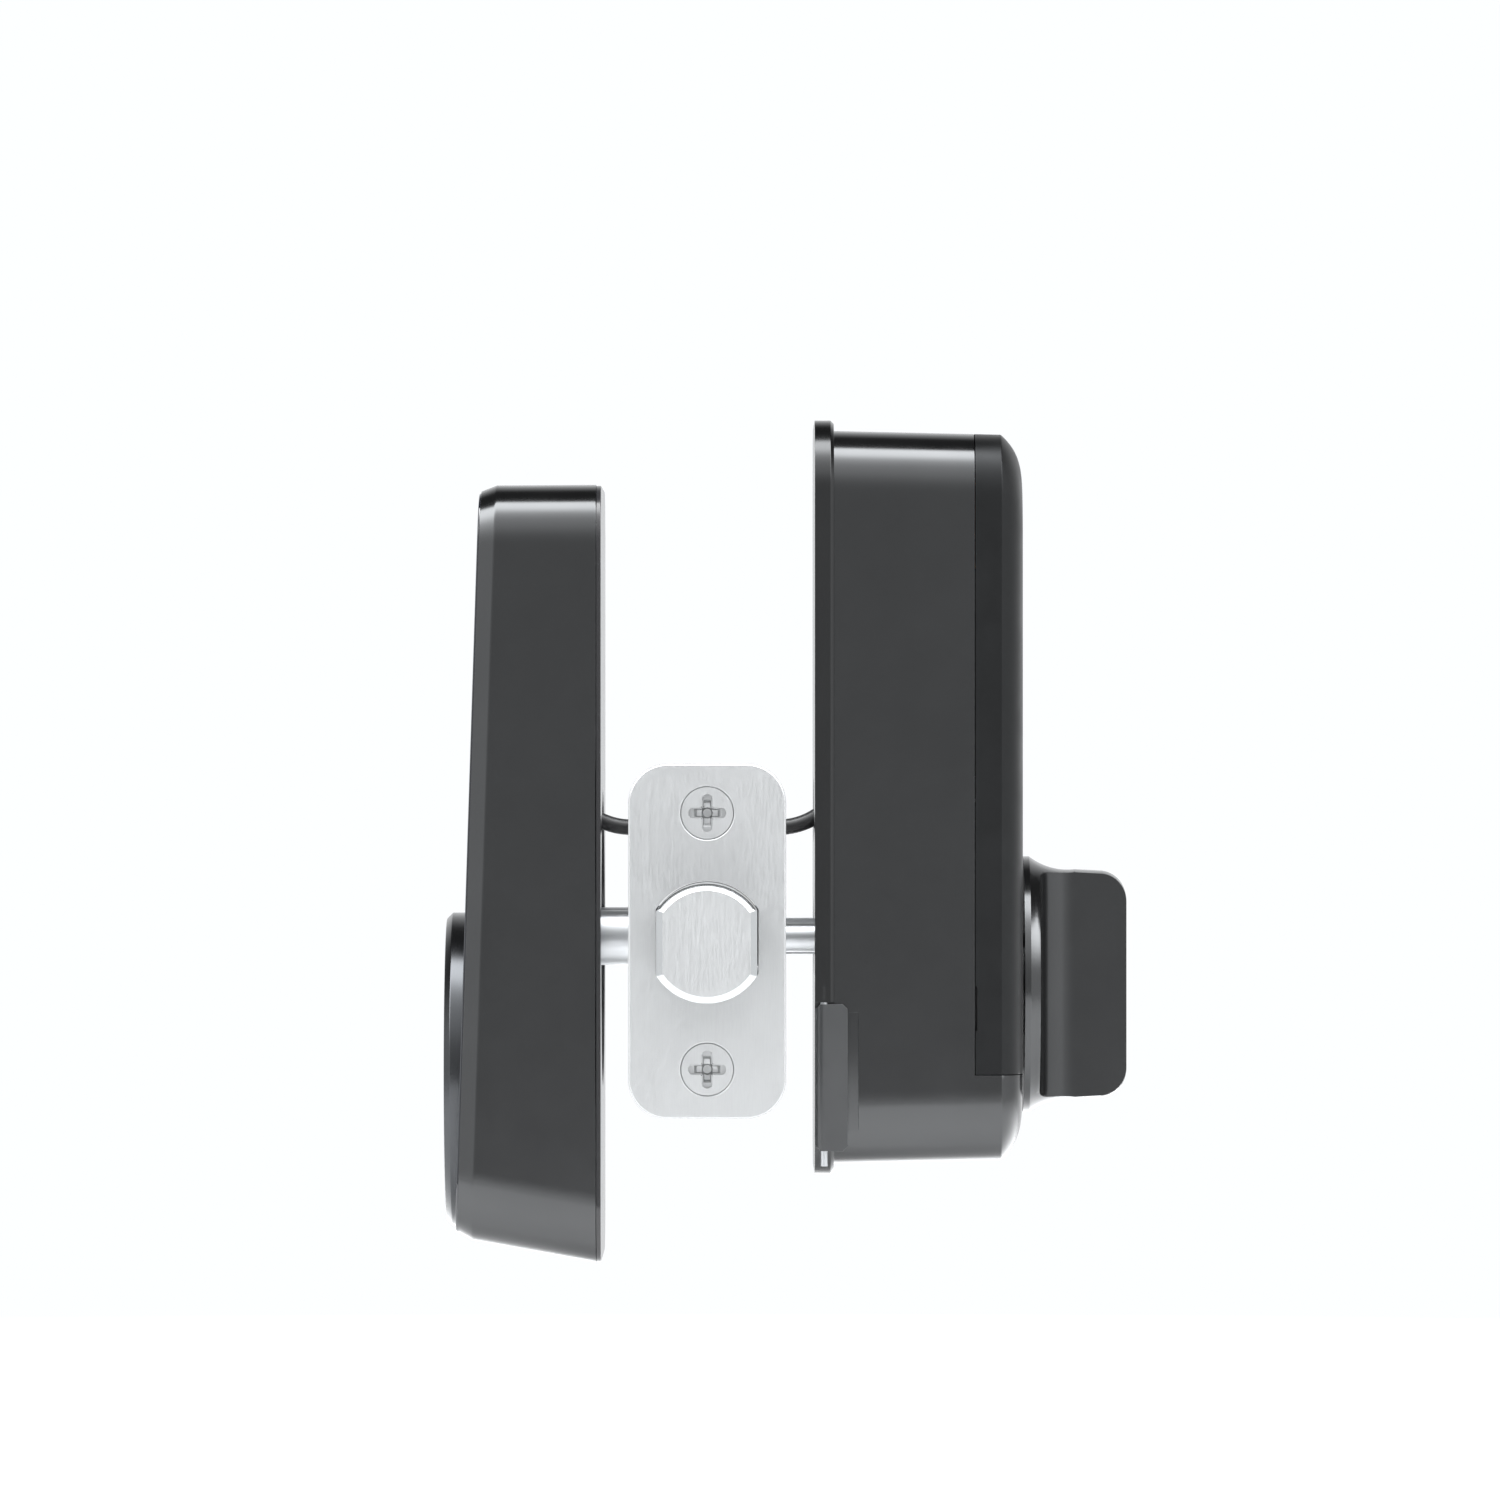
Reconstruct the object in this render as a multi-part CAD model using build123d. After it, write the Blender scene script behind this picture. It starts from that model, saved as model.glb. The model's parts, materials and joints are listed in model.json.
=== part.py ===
"""Keyless deadbolt lock for a hinged door: keypad unit outside, thumbturn unit inside, latch between.

Millimetres, +Z up.  The origin is where the drive spindle crosses the mid-plane of the door.
X runs through the door (outside is -X, the room is +X); -Y points at the door's free edge.
At rest the deadbolt is thrown.
"""
from build123d import *
import os
from math import acos, atan2, cos, degrees, pi, radians, sin, sqrt, tan

os.makedirs("parts", exist_ok=True)

# ---------------------------------------------------------------- driving dimensions
DOOR_THICKNESS = 34.93          # 1 3/8 in door
DOOR_HALF = DOOR_THICKNESS / 2
BACKSET = 60.325                # 2 3/8 in, from the door's edge to the spindle
THROW = 25.4                    # 1 in deadbolt travel
TURN = 90.0                     # degrees of thumbturn for the whole throw
THUMB_Z = -8.0                  # the thumbturn sits below the spindle
FIT = 0.05                      # radial clearance of a running fit

# latch, in the door's edge
FACE_WIDTH, FACE_HEIGHT, FACE_THICK, FACE_CORNER = 25.4, 57.15, 2.2, 6.35
FACE_EDGE = 0.25                # chamfer round the faceplate
FACE_SCREW_PITCH = 41.3
BOLT_DIAMETER, BOLT_FLATS, BOLT_CHAMFER = 19.05, 16.1, 1.05
TUBE_OUTER, TUBE_INNER = 22.2, 19.75
THROUGH_BOLT_Y = 19.05          # the two through bolts stand either side of the spindle

# keypad unit
GASKET = 0.8
EXT_BACK = -DOOR_HALF - GASKET
PLATE_STEEL = 2.0               # the steel plate behind the keypad unit
EXT_TOP, EXT_BOTTOM, EXT_HALF_WIDTH, EXT_CORNER = 74.3, -53.25, 34.0, 9.8
EXT_WALL = 2.2
EXT_TOP_SLOPE = 0.0061          # how far the top falls per millimetre of depth
EXT_UNDERSIDE_SLOPE = 0.18      # how far the underside rises per millimetre of depth
EXT_FACE_X = -39.45             # where the leaning front meets the height of the spindle
EXT_FACE_LEAN = 0.03205         # the front's slope: it stands further out at the bottom
BEVEL_DEPTH, BEVEL_INSET = 2.5, 0.95
DISC_Z, DISC_RADIUS, DISC_FRONT, DISC_CHAMFER = -22.1, 25.95, -43.3, 1.0

# thumbturn unit
PLATE_FRONT = 20.6
PLATE_CHAMFER = 0.55
INT_TOP, INT_BOTTOM, INT_HALF_WIDTH, INT_CORNER = 83.1, -37.0, 36.0, 10.0
INT_RIM = 1.65                  # the mounting plate stands out this far around the body
INT_WALL = 2.2
INT_DRAFT = 0.022               # the walls lean in by this much per millimetre of depth
CREASE_X = 47.95                # the side walls end here and the cushion-shaped front begins
PILLOW_DEPTH, PILLOW_INSET = 3.65, 12.3
COVER_X, COVER_Z = 43.6, -22.2  # parting line of the battery cover
PARTING = 0.15

# thumbturn
THUMB_BASE_RADIUS, THUMB_NECK_RADIUS = 21.2, 8.5
THUMB_BASE_X, THUMB_RIM = 52.1, 1.0
FIN_HEIGHT, FIN_OUT_X, FIN_CORNER = 38.1, 69.2, 4.5
FIN_THICK = 8.4
FIN_TAPER = 0.2                 # how much lower the fin is at its outer corner
FLARE_LENGTH = 7.6              # the blank flares from the base to the fin's height over this depth
FIN_FLOOR_X, FIN_ROOT_RADIUS = 54.66, 6.0  # floor of the side cuts, and their inner corner

# gears: full-depth pitch, stub teeth, so that the small pinions are not undercut
GEAR_MODULE = 1.0
FINE_MODULE = 0.8
PRESSURE_ANGLE = radians(25)
ADDENDUM, DEDENDUM = 0.8, 1.05  # in modules
BACKLASH = 0.14                 # taken off each gear's tooth at the pitch circle
DRIVE_TEETH, IDLER_TEETH, STEP_PINION_TEETH = 24, 16, 12
STEP_WHEEL_TEETH, MOTOR_TEETH = 28, 10
DRIVE_RADIUS = DRIVE_TEETH * GEAR_MODULE / 2
IDLER_RADIUS = IDLER_TEETH * GEAR_MODULE / 2
STEP_PINION_RADIUS = STEP_PINION_TEETH * GEAR_MODULE / 2
STEP_WHEEL_RADIUS = STEP_WHEEL_TEETH * FINE_MODULE / 2
MOTOR_RADIUS = MOTOR_TEETH * FINE_MODULE / 2
REAR_PLANE = (23.0, 26.0)       # wheel and motor pinion
MID_PLANE = (27.0, 32.0)        # spindle gear and step pinion
FRONT_PLANE = (33.0, 38.0)      # thumbturn gear
GEARBOX_REAR_X = 21.2
REAR_PLATE_THICK = 1.4
DECK_X, DECK_THICK = 44.4, 1.8

# cells
CELL_RADIUS, CELL_LENGTH, CELL_PITCH = 7.1, 50.0, 15.2
CELL_X, CELL_BOTTOM = 39.6, 26.4


def axis_points():
    """Centres of the gear axes in the YZ plane, worked out from the pitch radii."""
    reach = DRIVE_RADIUS + IDLER_RADIUS
    idler = (sqrt(reach ** 2 - (THUMB_Z / 2) ** 2), THUMB_Z / 2)
    reach = DRIVE_RADIUS + STEP_PINION_RADIUS
    step_z = THUMB_Z
    step = (-sqrt(reach ** 2 - step_z ** 2), step_z)
    reach = STEP_WHEEL_RADIUS + MOTOR_RADIUS
    down = radians(247)
    motor = (step[0] + reach * cos(down), step[1] + reach * sin(down))
    return idler, step, motor


IDLER_AT, STEP_AT, MOTOR_AT = axis_points()


# ---------------------------------------------------------------- small tools
def slab(sketch, x0, x1):
    """A sketch drawn in Y (across) and Z (up), made solid from x0 to x1."""
    return extrude(Plane.YZ.offset(x0) * sketch, amount=x1 - x0)


def edge_slab(sketch, y0, y1):
    """A sketch drawn in X (across) and Z (up), made solid from y0 to y1."""
    return extrude(Plane.XZ.offset(-y1) * sketch, amount=y1 - y0)


def box(x0, x1, y0, y1, z0, z1):
    return Pos((x0 + x1) / 2, (y0 + y1) / 2, (z0 + z1) / 2) * Box(x1 - x0, y1 - y0, z1 - z0)


def rod(y, z, radius, x0, x1):
    return slab(Pos(y, z) * Circle(radius), x0, x1)


def tube(y, z, outer, inner, x0, x1):
    return rod(y, z, outer, x0, x1) - rod(y, z, inner, x0 - 1, x1 + 1)


def rounded(y0, y1, z0, z1, corner):
    return Pos((y0 + y1) / 2, (z0 + z1) / 2) * RectangleRounded(y1 - y0, z1 - z0, corner)


def facing(x, y, z, out):
    """A place whose local +Z is the direction `out`."""
    return Location(Plane(origin=(x, y, z), z_dir=out))


HEAD_RIM = 0.15                 # height of the straight rim above a countersunk head's cone


def flat_screw(head, shank, length):
    """Countersunk screw, its face at local zero and its shank going down local -Z."""
    head_depth = (head - shank) / 2
    cone = Pos(0, 0, -head_depth / 2 - HEAD_RIM) * Cone(shank / 2, head / 2, head_depth)
    rim = Pos(0, 0, -HEAD_RIM / 2) * Cylinder(head / 2, HEAD_RIM)
    body = cone + rim + Pos(0, 0, -length / 2) * Cylinder(shank / 2, length)
    tip = body.edges().group_by(Axis.Z)[0]
    body = chamfer(tip, shank * 0.2)
    wide, narrow = head * 0.73, head * 0.206
    deep, shallow = head * 0.3, head * 0.11
    for turn in (0, 90):
        slot = Rot(0, 0, turn) * SlotOverall(wide, narrow)
        body -= extrude(slot, amount=-shallow)
    return body - Pos(0, 0, -deep / 2) * Cone(narrow * 0.4, narrow * 0.8, deep)


SEAT_PLAY = 0.25                # a countersunk seat is this much wider than the head


def countersink(head, shank):
    """Seat for a countersunk screw, a little wider than its head."""
    depth = (head - shank) / 2 + SEAT_PLAY
    return Pos(0, 0, -depth / 2) * Cone(shank / 2, head / 2 + SEAT_PLAY, depth)


def pan_screw(head, shank, length):
    """Domed-head screw seated at local zero, with its shank going down local -Z."""
    height = head * 0.32
    dome = Pos(0, 0, height / 2) * Cylinder(head / 2, height)
    dome = fillet(dome.edges().group_by(Axis.Z)[-1], height * 0.6)
    body = dome + Pos(0, 0, -length / 2) * Cylinder(shank / 2, length)
    for turn in (0, 90):
        slot = Rot(0, 0, turn) * Rectangle(head * 0.55, head * 0.14)
        body -= extrude(Pos(0, 0, height) * slot, amount=-height * 0.6)
    return body


def group(solids):
    """Several separate solids kept in one node."""
    return Compound(children=[s for item in solids for s in item.solids()])


# ---------------------------------------------------------------- gears
def gear_outline(teeth, module, phase):
    """Involute spur gear face, with a tooth centred on the angle `phase` (radians)."""
    pitch_radius = teeth * module / 2
    base = pitch_radius * cos(PRESSURE_ANGLE)
    tip = pitch_radius + ADDENDUM * module
    root = pitch_radius - DEDENDUM * module
    start = max(base, root)

    def involute(radius):
        pressure = acos(min(1.0, base / radius))
        return tan(pressure) - pressure

    half_pitch_tooth = (pi * module / 2 - BACKLASH) / 2 / pitch_radius

    def flank(radius, side, centre):
        angle = centre + side * (half_pitch_tooth + involute(pitch_radius) - involute(radius))
        return (radius * cos(angle), radius * sin(angle))

    edges = []
    step = 2 * pi / teeth
    for number in range(teeth):
        centre = phase + number * step
        middle = (start + tip) / 2
        root_half = half_pitch_tooth + involute(pitch_radius) - involute(start)
        low_left = (root * cos(centre - root_half), root * sin(centre - root_half))
        low_right = (root * cos(centre + root_half), root * sin(centre + root_half))
        next_left = centre + step - root_half
        valley = (root * cos(centre + step / 2), root * sin(centre + step / 2))
        if start > root + 1e-6:
            edges.append(Line(low_left, flank(start, -1, centre)))
        edges.append(ThreePointArc(flank(start, -1, centre), flank(middle, -1, centre),
                                   flank(tip, -1, centre)))
        edges.append(ThreePointArc(flank(tip, -1, centre), (tip * cos(centre), tip * sin(centre)),
                                   flank(tip, 1, centre)))
        edges.append(ThreePointArc(flank(tip, 1, centre), flank(middle, 1, centre),
                                   flank(start, 1, centre)))
        if start > root + 1e-6:
            edges.append(Line(flank(start, 1, centre), low_right))
        edges.append(ThreePointArc(low_right, valley,
                                   (root * cos(next_left), root * sin(next_left))))
    return make_face(Wire(edges))


def gear(at, teeth, module, phase, x0, x1):
    return slab(Pos(*at) * gear_outline(teeth, module, phase), x0, x1)


def meshed_phase(at, teeth, phase, other_at, other_teeth):
    """Angle of a tooth of the second gear that puts it in mesh with the first."""
    line = Vector(other_at[0] - at[0], other_at[1] - at[1])
    direction = radians(Vector(1, 0).get_signed_angle(line, Vector(0, 0, 1)))
    past = ((direction - phase) / (2 * pi / teeth)) % 1.0
    return direction + pi + (past + 0.5) * 2 * pi / other_teeth


# ---------------------------------------------------------------- latch
def face_cut(clearance=0.0):
    """Outline of the deadbolt's section: a circle with two vertical flats."""
    half = BOLT_FLATS / 2 + clearance
    return Circle(BOLT_DIAMETER / 2 + clearance) & Rectangle(2 * half, 2 * BOLT_DIAMETER)


FACE_Y = -BACKSET
BACKING_Y = FACE_Y + FACE_THICK
BACKING_THICK = 1.5
TUBE_START = BACKING_Y + BACKING_THICK
TUBE_END = 24.0
FACE_SCREW_HEAD, FACE_SCREW_SHANK, FACE_SCREW_LENGTH = 8.36, 4.1, 24.0
FACE_SCREW_HOLE = FACE_SCREW_SHANK / 2 + 0.3
FACE_SCREW_Z = (-FACE_SCREW_PITCH / 2, FACE_SCREW_PITCH / 2)
NECK_END, NECK_DROP = 4.4, 0.12  # plain stretch under the screw head, thinner than the thread


def latch_faceplate():
    plate = edge_slab(RectangleRounded(FACE_WIDTH, FACE_HEIGHT, FACE_CORNER), FACE_Y, BACKING_Y)
    plate -= edge_slab(face_cut(0.2), FACE_Y - 1, BACKING_Y + 1)
    rim = plate.faces().sort_by(Axis.Y)[0].outer_wire().edges()
    plate = chamfer(rim, FACE_EDGE)
    for z in FACE_SCREW_Z:
        plate -= facing(0, FACE_Y, z, (0, -1, 0)) * countersink(FACE_SCREW_HEAD, FACE_SCREW_SHANK)
        plate -= edge_slab(Pos(0, z) * Circle(FACE_SCREW_HOLE), FACE_Y, BACKING_Y + 1)
    return plate


def latch_backing_plate():
    margin = 0.6
    wide, high = FACE_WIDTH - 2 * margin, FACE_HEIGHT - 2 * margin
    plate = edge_slab(RectangleRounded(wide, high, FACE_CORNER - margin), BACKING_Y, TUBE_START)
    plate -= edge_slab(face_cut(0.3), BACKING_Y - 1, TUBE_START + 1)
    for z in FACE_SCREW_Z:
        plate -= edge_slab(Pos(0, z) * Circle(FACE_SCREW_HOLE), BACKING_Y - 1, TUBE_START + 1)
    return plate


def faceplate_screws():
    screw = flat_screw(FACE_SCREW_HEAD, FACE_SCREW_SHANK, FACE_SCREW_LENGTH)
    neck_start = (FACE_SCREW_HEAD - FACE_SCREW_SHANK) / 2 + HEAD_RIM
    neck = Circle(FACE_SCREW_SHANK) - Circle(FACE_SCREW_SHANK / 2 - NECK_DROP)
    screw -= extrude(Plane.XY.offset(-NECK_END) * neck, amount=NECK_END - neck_start)
    return group([facing(0, FACE_Y + 0.02, z, (0, -1, 0)) * screw for z in FACE_SCREW_Z])


HUB_RADIUS = 5.0
CASE_FLOOR = -7.5               # below this the case is open for the crank
CASE_WINDOW = -25.0             # where the crank's opening starts
CASE_BOLT_HOLE = 3.1            # radius of the holes that the through bolts pass


def latch_case():
    """Bolt tube; its rear half is an arch that carries the hub and lets the crank swing below."""
    case = edge_slab(Circle(TUBE_OUTER / 2) - Circle(TUBE_INNER / 2), TUBE_START, TUBE_END)
    case -= box(-TUBE_OUTER, TUBE_OUTER, CASE_WINDOW, TUBE_END + 1, -TUBE_OUTER, CASE_FLOOR)
    case -= rod(0, 0, HUB_RADIUS + FIT, -TUBE_OUTER, TUBE_OUTER)
    for y in (-THROUGH_BOLT_Y, THROUGH_BOLT_Y):
        case -= rod(y, 0, CASE_BOLT_HOLE, -TUBE_OUTER, TUBE_OUTER)
    return case


BOLT_TIP = FACE_Y - THROW
BOLT_REAR = -47.6
TAIL_TOP, TAIL_BOTTOM, TAIL_THICK = -5.35, -9.2, 2.0
TAIL_TANG = 7.5                 # how deep the tail sits in the bolt
TAIL_PIN_RADIUS = 1.2


def tail_pin_hole(radius):
    y = BOLT_REAR - TAIL_TANG / 2
    return rod(y, (TAIL_TOP + TAIL_BOTTOM) / 2, radius, -BOLT_FLATS, BOLT_FLATS)


def deadbolt():
    bolt = edge_slab(face_cut(), BOLT_TIP, BOLT_REAR)
    bolt = chamfer(bolt.faces().sort_by(Axis.Y)[0].edges(), BOLT_CHAMFER)
    half = TAIL_THICK / 2 + 0.03
    slot_end = BOLT_REAR - TAIL_TANG - 0.1
    slot = box(-half, half, slot_end, BOLT_REAR + 1, -BOLT_DIAMETER, TAIL_TOP + 0.05)
    return bolt - slot - tail_pin_hole(TAIL_PIN_RADIUS)


CRANK_REACH = THROW / 2 / sin(radians(TURN / 2))
CRANK_PIN = (-THROW / 2, -THROW / 2)      # Y and Z of the crank pin at rest
CRANK_PIN_RADIUS = 2.0
SLOT_SIDE_PLAY = 0.62           # the pin runs ahead of the bolt by up to 0.54 in mid travel


def bolt_tail():
    """Flat bar behind the bolt, ending in a fork that straddles the crank pin."""
    half = TAIL_THICK / 2
    slot = CRANK_PIN_RADIUS + SLOT_SIDE_PLAY
    tine = 2.4
    front, rear = CRANK_PIN[0] - slot - tine, CRANK_PIN[0] + slot + tine
    tines_end = -CRANK_REACH - 1.4
    bar = box(-half, half, BOLT_REAR - TAIL_TANG, rear, TAIL_BOTTOM, TAIL_TOP)
    fork = slab(rounded(front, rear, tines_end, TAIL_TOP - 1, 1.0), -half, half)
    mouth = box(-half - 1, half + 1, CRANK_PIN[0] - slot, CRANK_PIN[0] + slot,
                tines_end - 1, TAIL_BOTTOM - 1)
    return bar + fork - mouth - tail_pin_hole(TAIL_PIN_RADIUS + 0.02)


def tail_pin():
    y = BOLT_REAR - TAIL_TANG / 2
    return rod(y, (TAIL_TOP + TAIL_BOTTOM) / 2, TAIL_PIN_RADIUS - 0.02, -4.2, 4.2)


SPINDLE_HALF_HEIGHT, SPINDLE_HALF_WIDTH = 3.0, 1.2
SPINDLE_ENDS = (-9.0, 29.5)


def spindle_hole(x0, x1):
    play = 0.1
    return slab(Rectangle(2 * (SPINDLE_HALF_WIDTH + play), 2 * (SPINDLE_HALF_HEIGHT + play)), x0, x1)


def latch_hub():
    """Barrel that turns in the case, with the crank and its pin."""
    barrel = rod(0, 0, HUB_RADIUS, -11.6, 11.6)
    arm_face = make_hull([Circle(3.6).edge(), (Pos(*CRANK_PIN) * Circle(3.0)).edge()])
    arm = slab(arm_face, 1.4, 3.9)
    pin = rod(*CRANK_PIN, CRANK_PIN_RADIUS, -1.9, 3.9)
    return barrel + arm + pin - spindle_hole(-12, 12)


def spindle():
    blade = slab(Rectangle(2 * SPINDLE_HALF_WIDTH, 2 * SPINDLE_HALF_HEIGHT), *SPINDLE_ENDS)
    ends = blade.faces().filter_by(Axis.X).edges()
    return chamfer(ends, 0.3)


# ---------------------------------------------------------------- through the door
THROUGH_BOLT_RADIUS, THROUGH_BOLT_HEAD, THROUGH_BOLT_LENGTH = 2.4, 9.4, 38.5
POST_RADIUS, POST_END = 4.5, -12.2
BOLT_HEAD_X = PLATE_FRONT - 0.3


def through_bolts():
    screw = flat_screw(THROUGH_BOLT_HEAD, 2 * THROUGH_BOLT_RADIUS, THROUGH_BOLT_LENGTH)
    sides = (-THROUGH_BOLT_Y, THROUGH_BOLT_Y)
    return group([facing(BOLT_HEAD_X, y, 0, (1, 0, 0)) * screw for y in sides])


def mounting_posts():
    rear = EXT_BACK - PLATE_STEEL
    post = [tube(y, 0, POST_RADIUS, THROUGH_BOLT_RADIUS + 0.1, rear + 0.4, POST_END)
            for y in (-THROUGH_BOLT_Y, THROUGH_BOLT_Y)]
    return group(post)


HARNESS_RADIUS = 1.3
HARNESS_RUN_Z, HARNESS_TOP_Z = 18.0, 44.0
HARNESS_OUTSIDE_X, HARNESS_INSIDE_X = -24.5, 23.3


def harness():
    """Lead between the two circuit boards, over the latch and through the door's cross bore."""
    route = [(HARNESS_OUTSIDE_X, 0, HARNESS_TOP_Z), (HARNESS_OUTSIDE_X, 0, HARNESS_RUN_Z),
             (HARNESS_INSIDE_X, 0, HARNESS_RUN_Z), (HARNESS_INSIDE_X, 0, HARNESS_TOP_Z)]
    bend = 0.45 * (HARNESS_TOP_Z - HARNESS_RUN_Z)
    path = FilletPolyline(*route, radius=bend)
    lead = sweep(Plane(origin=route[0], z_dir=(0, 0, -1)) * Circle(HARNESS_RADIUS), path=path)
    print(f"harness: bend {bend:.1f} mm, length {path.length:.1f} mm, "
          f"volume {lead.volume:.1f} against {path.length * pi * HARNESS_RADIUS ** 2:.1f} mm3")
    return lead


# ---------------------------------------------------------------- keypad unit
FRONT_NORMAL = (-1, 0, EXT_FACE_LEAN)
FRONT = Plane(origin=(EXT_FACE_X, 0, 0), x_dir=(0, -1, 0), z_dir=FRONT_NORMAL)
LEAN_STRETCH = sqrt(1 + EXT_FACE_LEAN ** 2)


def ext_section(x, inset):
    depth = EXT_BACK - x
    top = EXT_TOP - EXT_TOP_SLOPE * depth - inset
    bottom = EXT_BOTTOM + EXT_UNDERSIDE_SLOPE * depth + inset
    half = EXT_HALF_WIDTH - inset
    return Plane.YZ.offset(x) * rounded(-half, half, bottom, top, EXT_CORNER - inset)


def exterior_form(inset, front_offset):
    """Outer form of the keypad unit, shrunk by `inset`, its leaning front moved in by an offset."""
    deep = -47.0
    form = loft([ext_section(EXT_BACK, inset), ext_section(deep, inset)], ruled=True)
    return split(form, bisect_by=FRONT.offset(-front_offset), keep=Keep.BOTTOM)


FRONT_TOP, FRONT_BOTTOM = 73.2, -48.6      # height of the front face between its bevels
PANEL_MARGIN = 0.35
PANEL_PROUD, PANEL_THICK = 0.3, 1.3
LEDGE = 3.0
LEDGE_THICK = 1.5
DISC_BOSS_RADIUS = 22.0


def front_outline(margin):
    """The front face's outline, moved in by a margin, in the plane of the leaning front."""
    half = EXT_HALF_WIDTH - BEVEL_INSET - margin
    return rounded(-half, half, FRONT_BOTTOM * LEAN_STRETCH + margin, FRONT_TOP * LEAN_STRETCH - margin,
                   EXT_CORNER - BEVEL_INSET - margin)


def front_slab(outline, depth0, depth1):
    """A sketch on the leaning front, made solid between two depths behind it."""
    return extrude(FRONT.offset(-depth1) * outline, amount=depth1 - depth0)


BOARD_BOSS_YZ = [(y, z) for y in (-26.0, 26.0) for z in (-30.0, 57.0)]
PLATE_SCREW_YZ = [(y, z) for y in (-24.0, 24.0) for z in (-43.5, 65.0)]
LUG_FRONT = -28.4
PLATE_SCREW = (5.4, 2.4)        # head and shank diameters
PORT_X, PORT_WIDTH, PORT_HEIGHT = -26.9, 9.0, 3.3


def exterior_housing():
    shell = exterior_form(0, 0)
    face = shell.faces().sort_by(Axis.X)[0]
    shell = chamfer(face.edges(), BEVEL_INSET, BEVEL_DEPTH, reference=face)
    inner = exterior_form(EXT_WALL, PANEL_THICK - PANEL_PROUD + LEDGE_THICK)
    shell -= inner
    shell -= front_slab(front_outline(PANEL_MARGIN - 0.05), -1, PANEL_THICK - PANEL_PROUD)
    shell -= front_slab(front_outline(PANEL_MARGIN + LEDGE), -1, 9)
    shell -= Pos(PORT_X, 0, EXT_BOTTOM) * Box(PORT_HEIGHT + 0.4, PORT_WIDTH + 0.4, 12)
    for y, z in PLATE_SCREW_YZ:
        pad = 3.6
        lug = rod(y, z, pad, LUG_FRONT, EXT_BACK - PLATE_STEEL - 0.1)
        outward = 1 if y > 0 else -1
        span = sorted((y, outward * (EXT_HALF_WIDTH - 1)))
        web = box(LUG_FRONT, EXT_BACK - PLATE_STEEL - 0.1, *span, z - 2, z + 2)
        shell += (lug + web) & exterior_form(0.5, 3)
        shell -= rod(y, z, 1.3, -28.0, EXT_BACK)
    return shell


def keypad_panel():
    panel = front_slab(front_outline(PANEL_MARGIN), -PANEL_PROUD, PANEL_THICK - PANEL_PROUD)
    rim = panel.faces().sort_by(Axis.X)[0].edges()
    panel = chamfer(rim, 0.12)
    panel -= rod(0, DISC_Z, DISC_BOSS_RADIUS + 0.1, -50, -30)
    return panel - keypad_legends_solid()


KEY_COLUMNS = (-19.0, 0.0, 19.0)
KEY_TOP_ROW, KEY_ROW_PITCH = 62.5, 16.0
LEGEND_DEPTH = 0.2
DIGIT_UNIT = 4.0                # a digit is one unit wide and 1.6 units high
STROKE = 0.18                   # width of a stroke, in units


def bar(start, end):
    """Straight stroke with round ends."""
    run = Vector(*end) - Vector(*start)
    middle = (Vector(*start) + Vector(*end)) * 0.5
    turn = degrees(atan2(run.Y, run.X))
    return Pos(middle) * Rot(0, 0, turn) * SlotCenterToCenter(run.length, STROKE)


def bow(centre, radius, start, size):
    """Curved stroke with round ends, from an angle in degrees and over an angle."""
    half = STROKE / 2
    head = Vector(*centre) + Vector(radius, 0).rotate(Axis.Z, start + size)
    tail = Vector(*centre) + Vector(radius, 0).rotate(Axis.Z, start)
    outer = CenterArc(centre, radius + half, start, size)
    cap = CenterArc(head, half, start + size, 180)
    inner = CenterArc(centre, radius - half, start + size, -size)
    foot = CenterArc(tail, half, start + 180, 180)
    return make_face(Wire([outer, cap, inner, foot]))


def ring(centre, radius):
    return Pos(*centre) * (Circle(radius + STROKE / 2) - Circle(radius - STROKE / 2))


def legend_strokes(name):
    """Strokes of one legend in a box one unit wide and 1.6 units high."""
    if name == "0":
        outer = SlotOverall(1.6 + STROKE, 1 + STROKE, rotation=90)
        return [Pos(0.5, 0.8) * (outer - SlotOverall(1.6 - STROKE, 1 - STROKE, rotation=90))]
    if name == "2":
        return [bow((0.5, 1.1), 0.5, -35, 215), bar((0.91, 0.81), (0, 0)), bar((0, 0), (1, 0))]
    if name == "3":
        return [bow((0.48, 1.2), 0.4, -90, 240), bow((0.48, 0.4), 0.4, -150, 240)]
    if name == "5":
        return [bar((0.92, 1.6), (0.14, 1.6)), bar((0.14, 1.6), (0.14, 0.87)),
                bow((0.48, 0.5), 0.5, -150, 282)]
    if name == "6":
        return [ring((0.5, 0.5), 0.5), bar((0.07, 0.76), (0.62, 1.6))]
    if name == "8":
        return [ring((0.5, 1.21), 0.38), ring((0.5, 0.42), 0.42)]
    if name == "9":
        return [Pos(1, 1.6) * Rot(0, 0, 180) * stroke for stroke in legend_strokes("6")]
    if name == "*":
        reach = Vector(0.45, 0)
        middle = Vector(0.5, 0.8)
        spokes = [reach.rotate(Axis.Z, angle) for angle in (30, 90, 150)]
        return [bar(tuple(middle - spoke)[:2], tuple(middle + spoke)[:2]) for spoke in spokes]
    paths = {
        "1": [((0.12, 1.22), (0.55, 1.6)), ((0.55, 1.6), (0.55, 0))],
        "4": [((0.74, 0), (0.74, 1.6)), ((0.74, 1.6), (0, 0.45)), ((0, 0.45), (1, 0.45))],
        "7": [((0, 1.6), (1, 1.6)), ((1, 1.6), (0.35, 0))],
        "#": [((0.3, 0.3), (0.3, 1.3)), ((0.7, 0.3), (0.7, 1.3)),
              ((0, 0.58), (1, 0.58)), ((0, 1.02), (1, 1.02))],
    }
    return [bar(start, end) for start, end in paths[name]]


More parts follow.
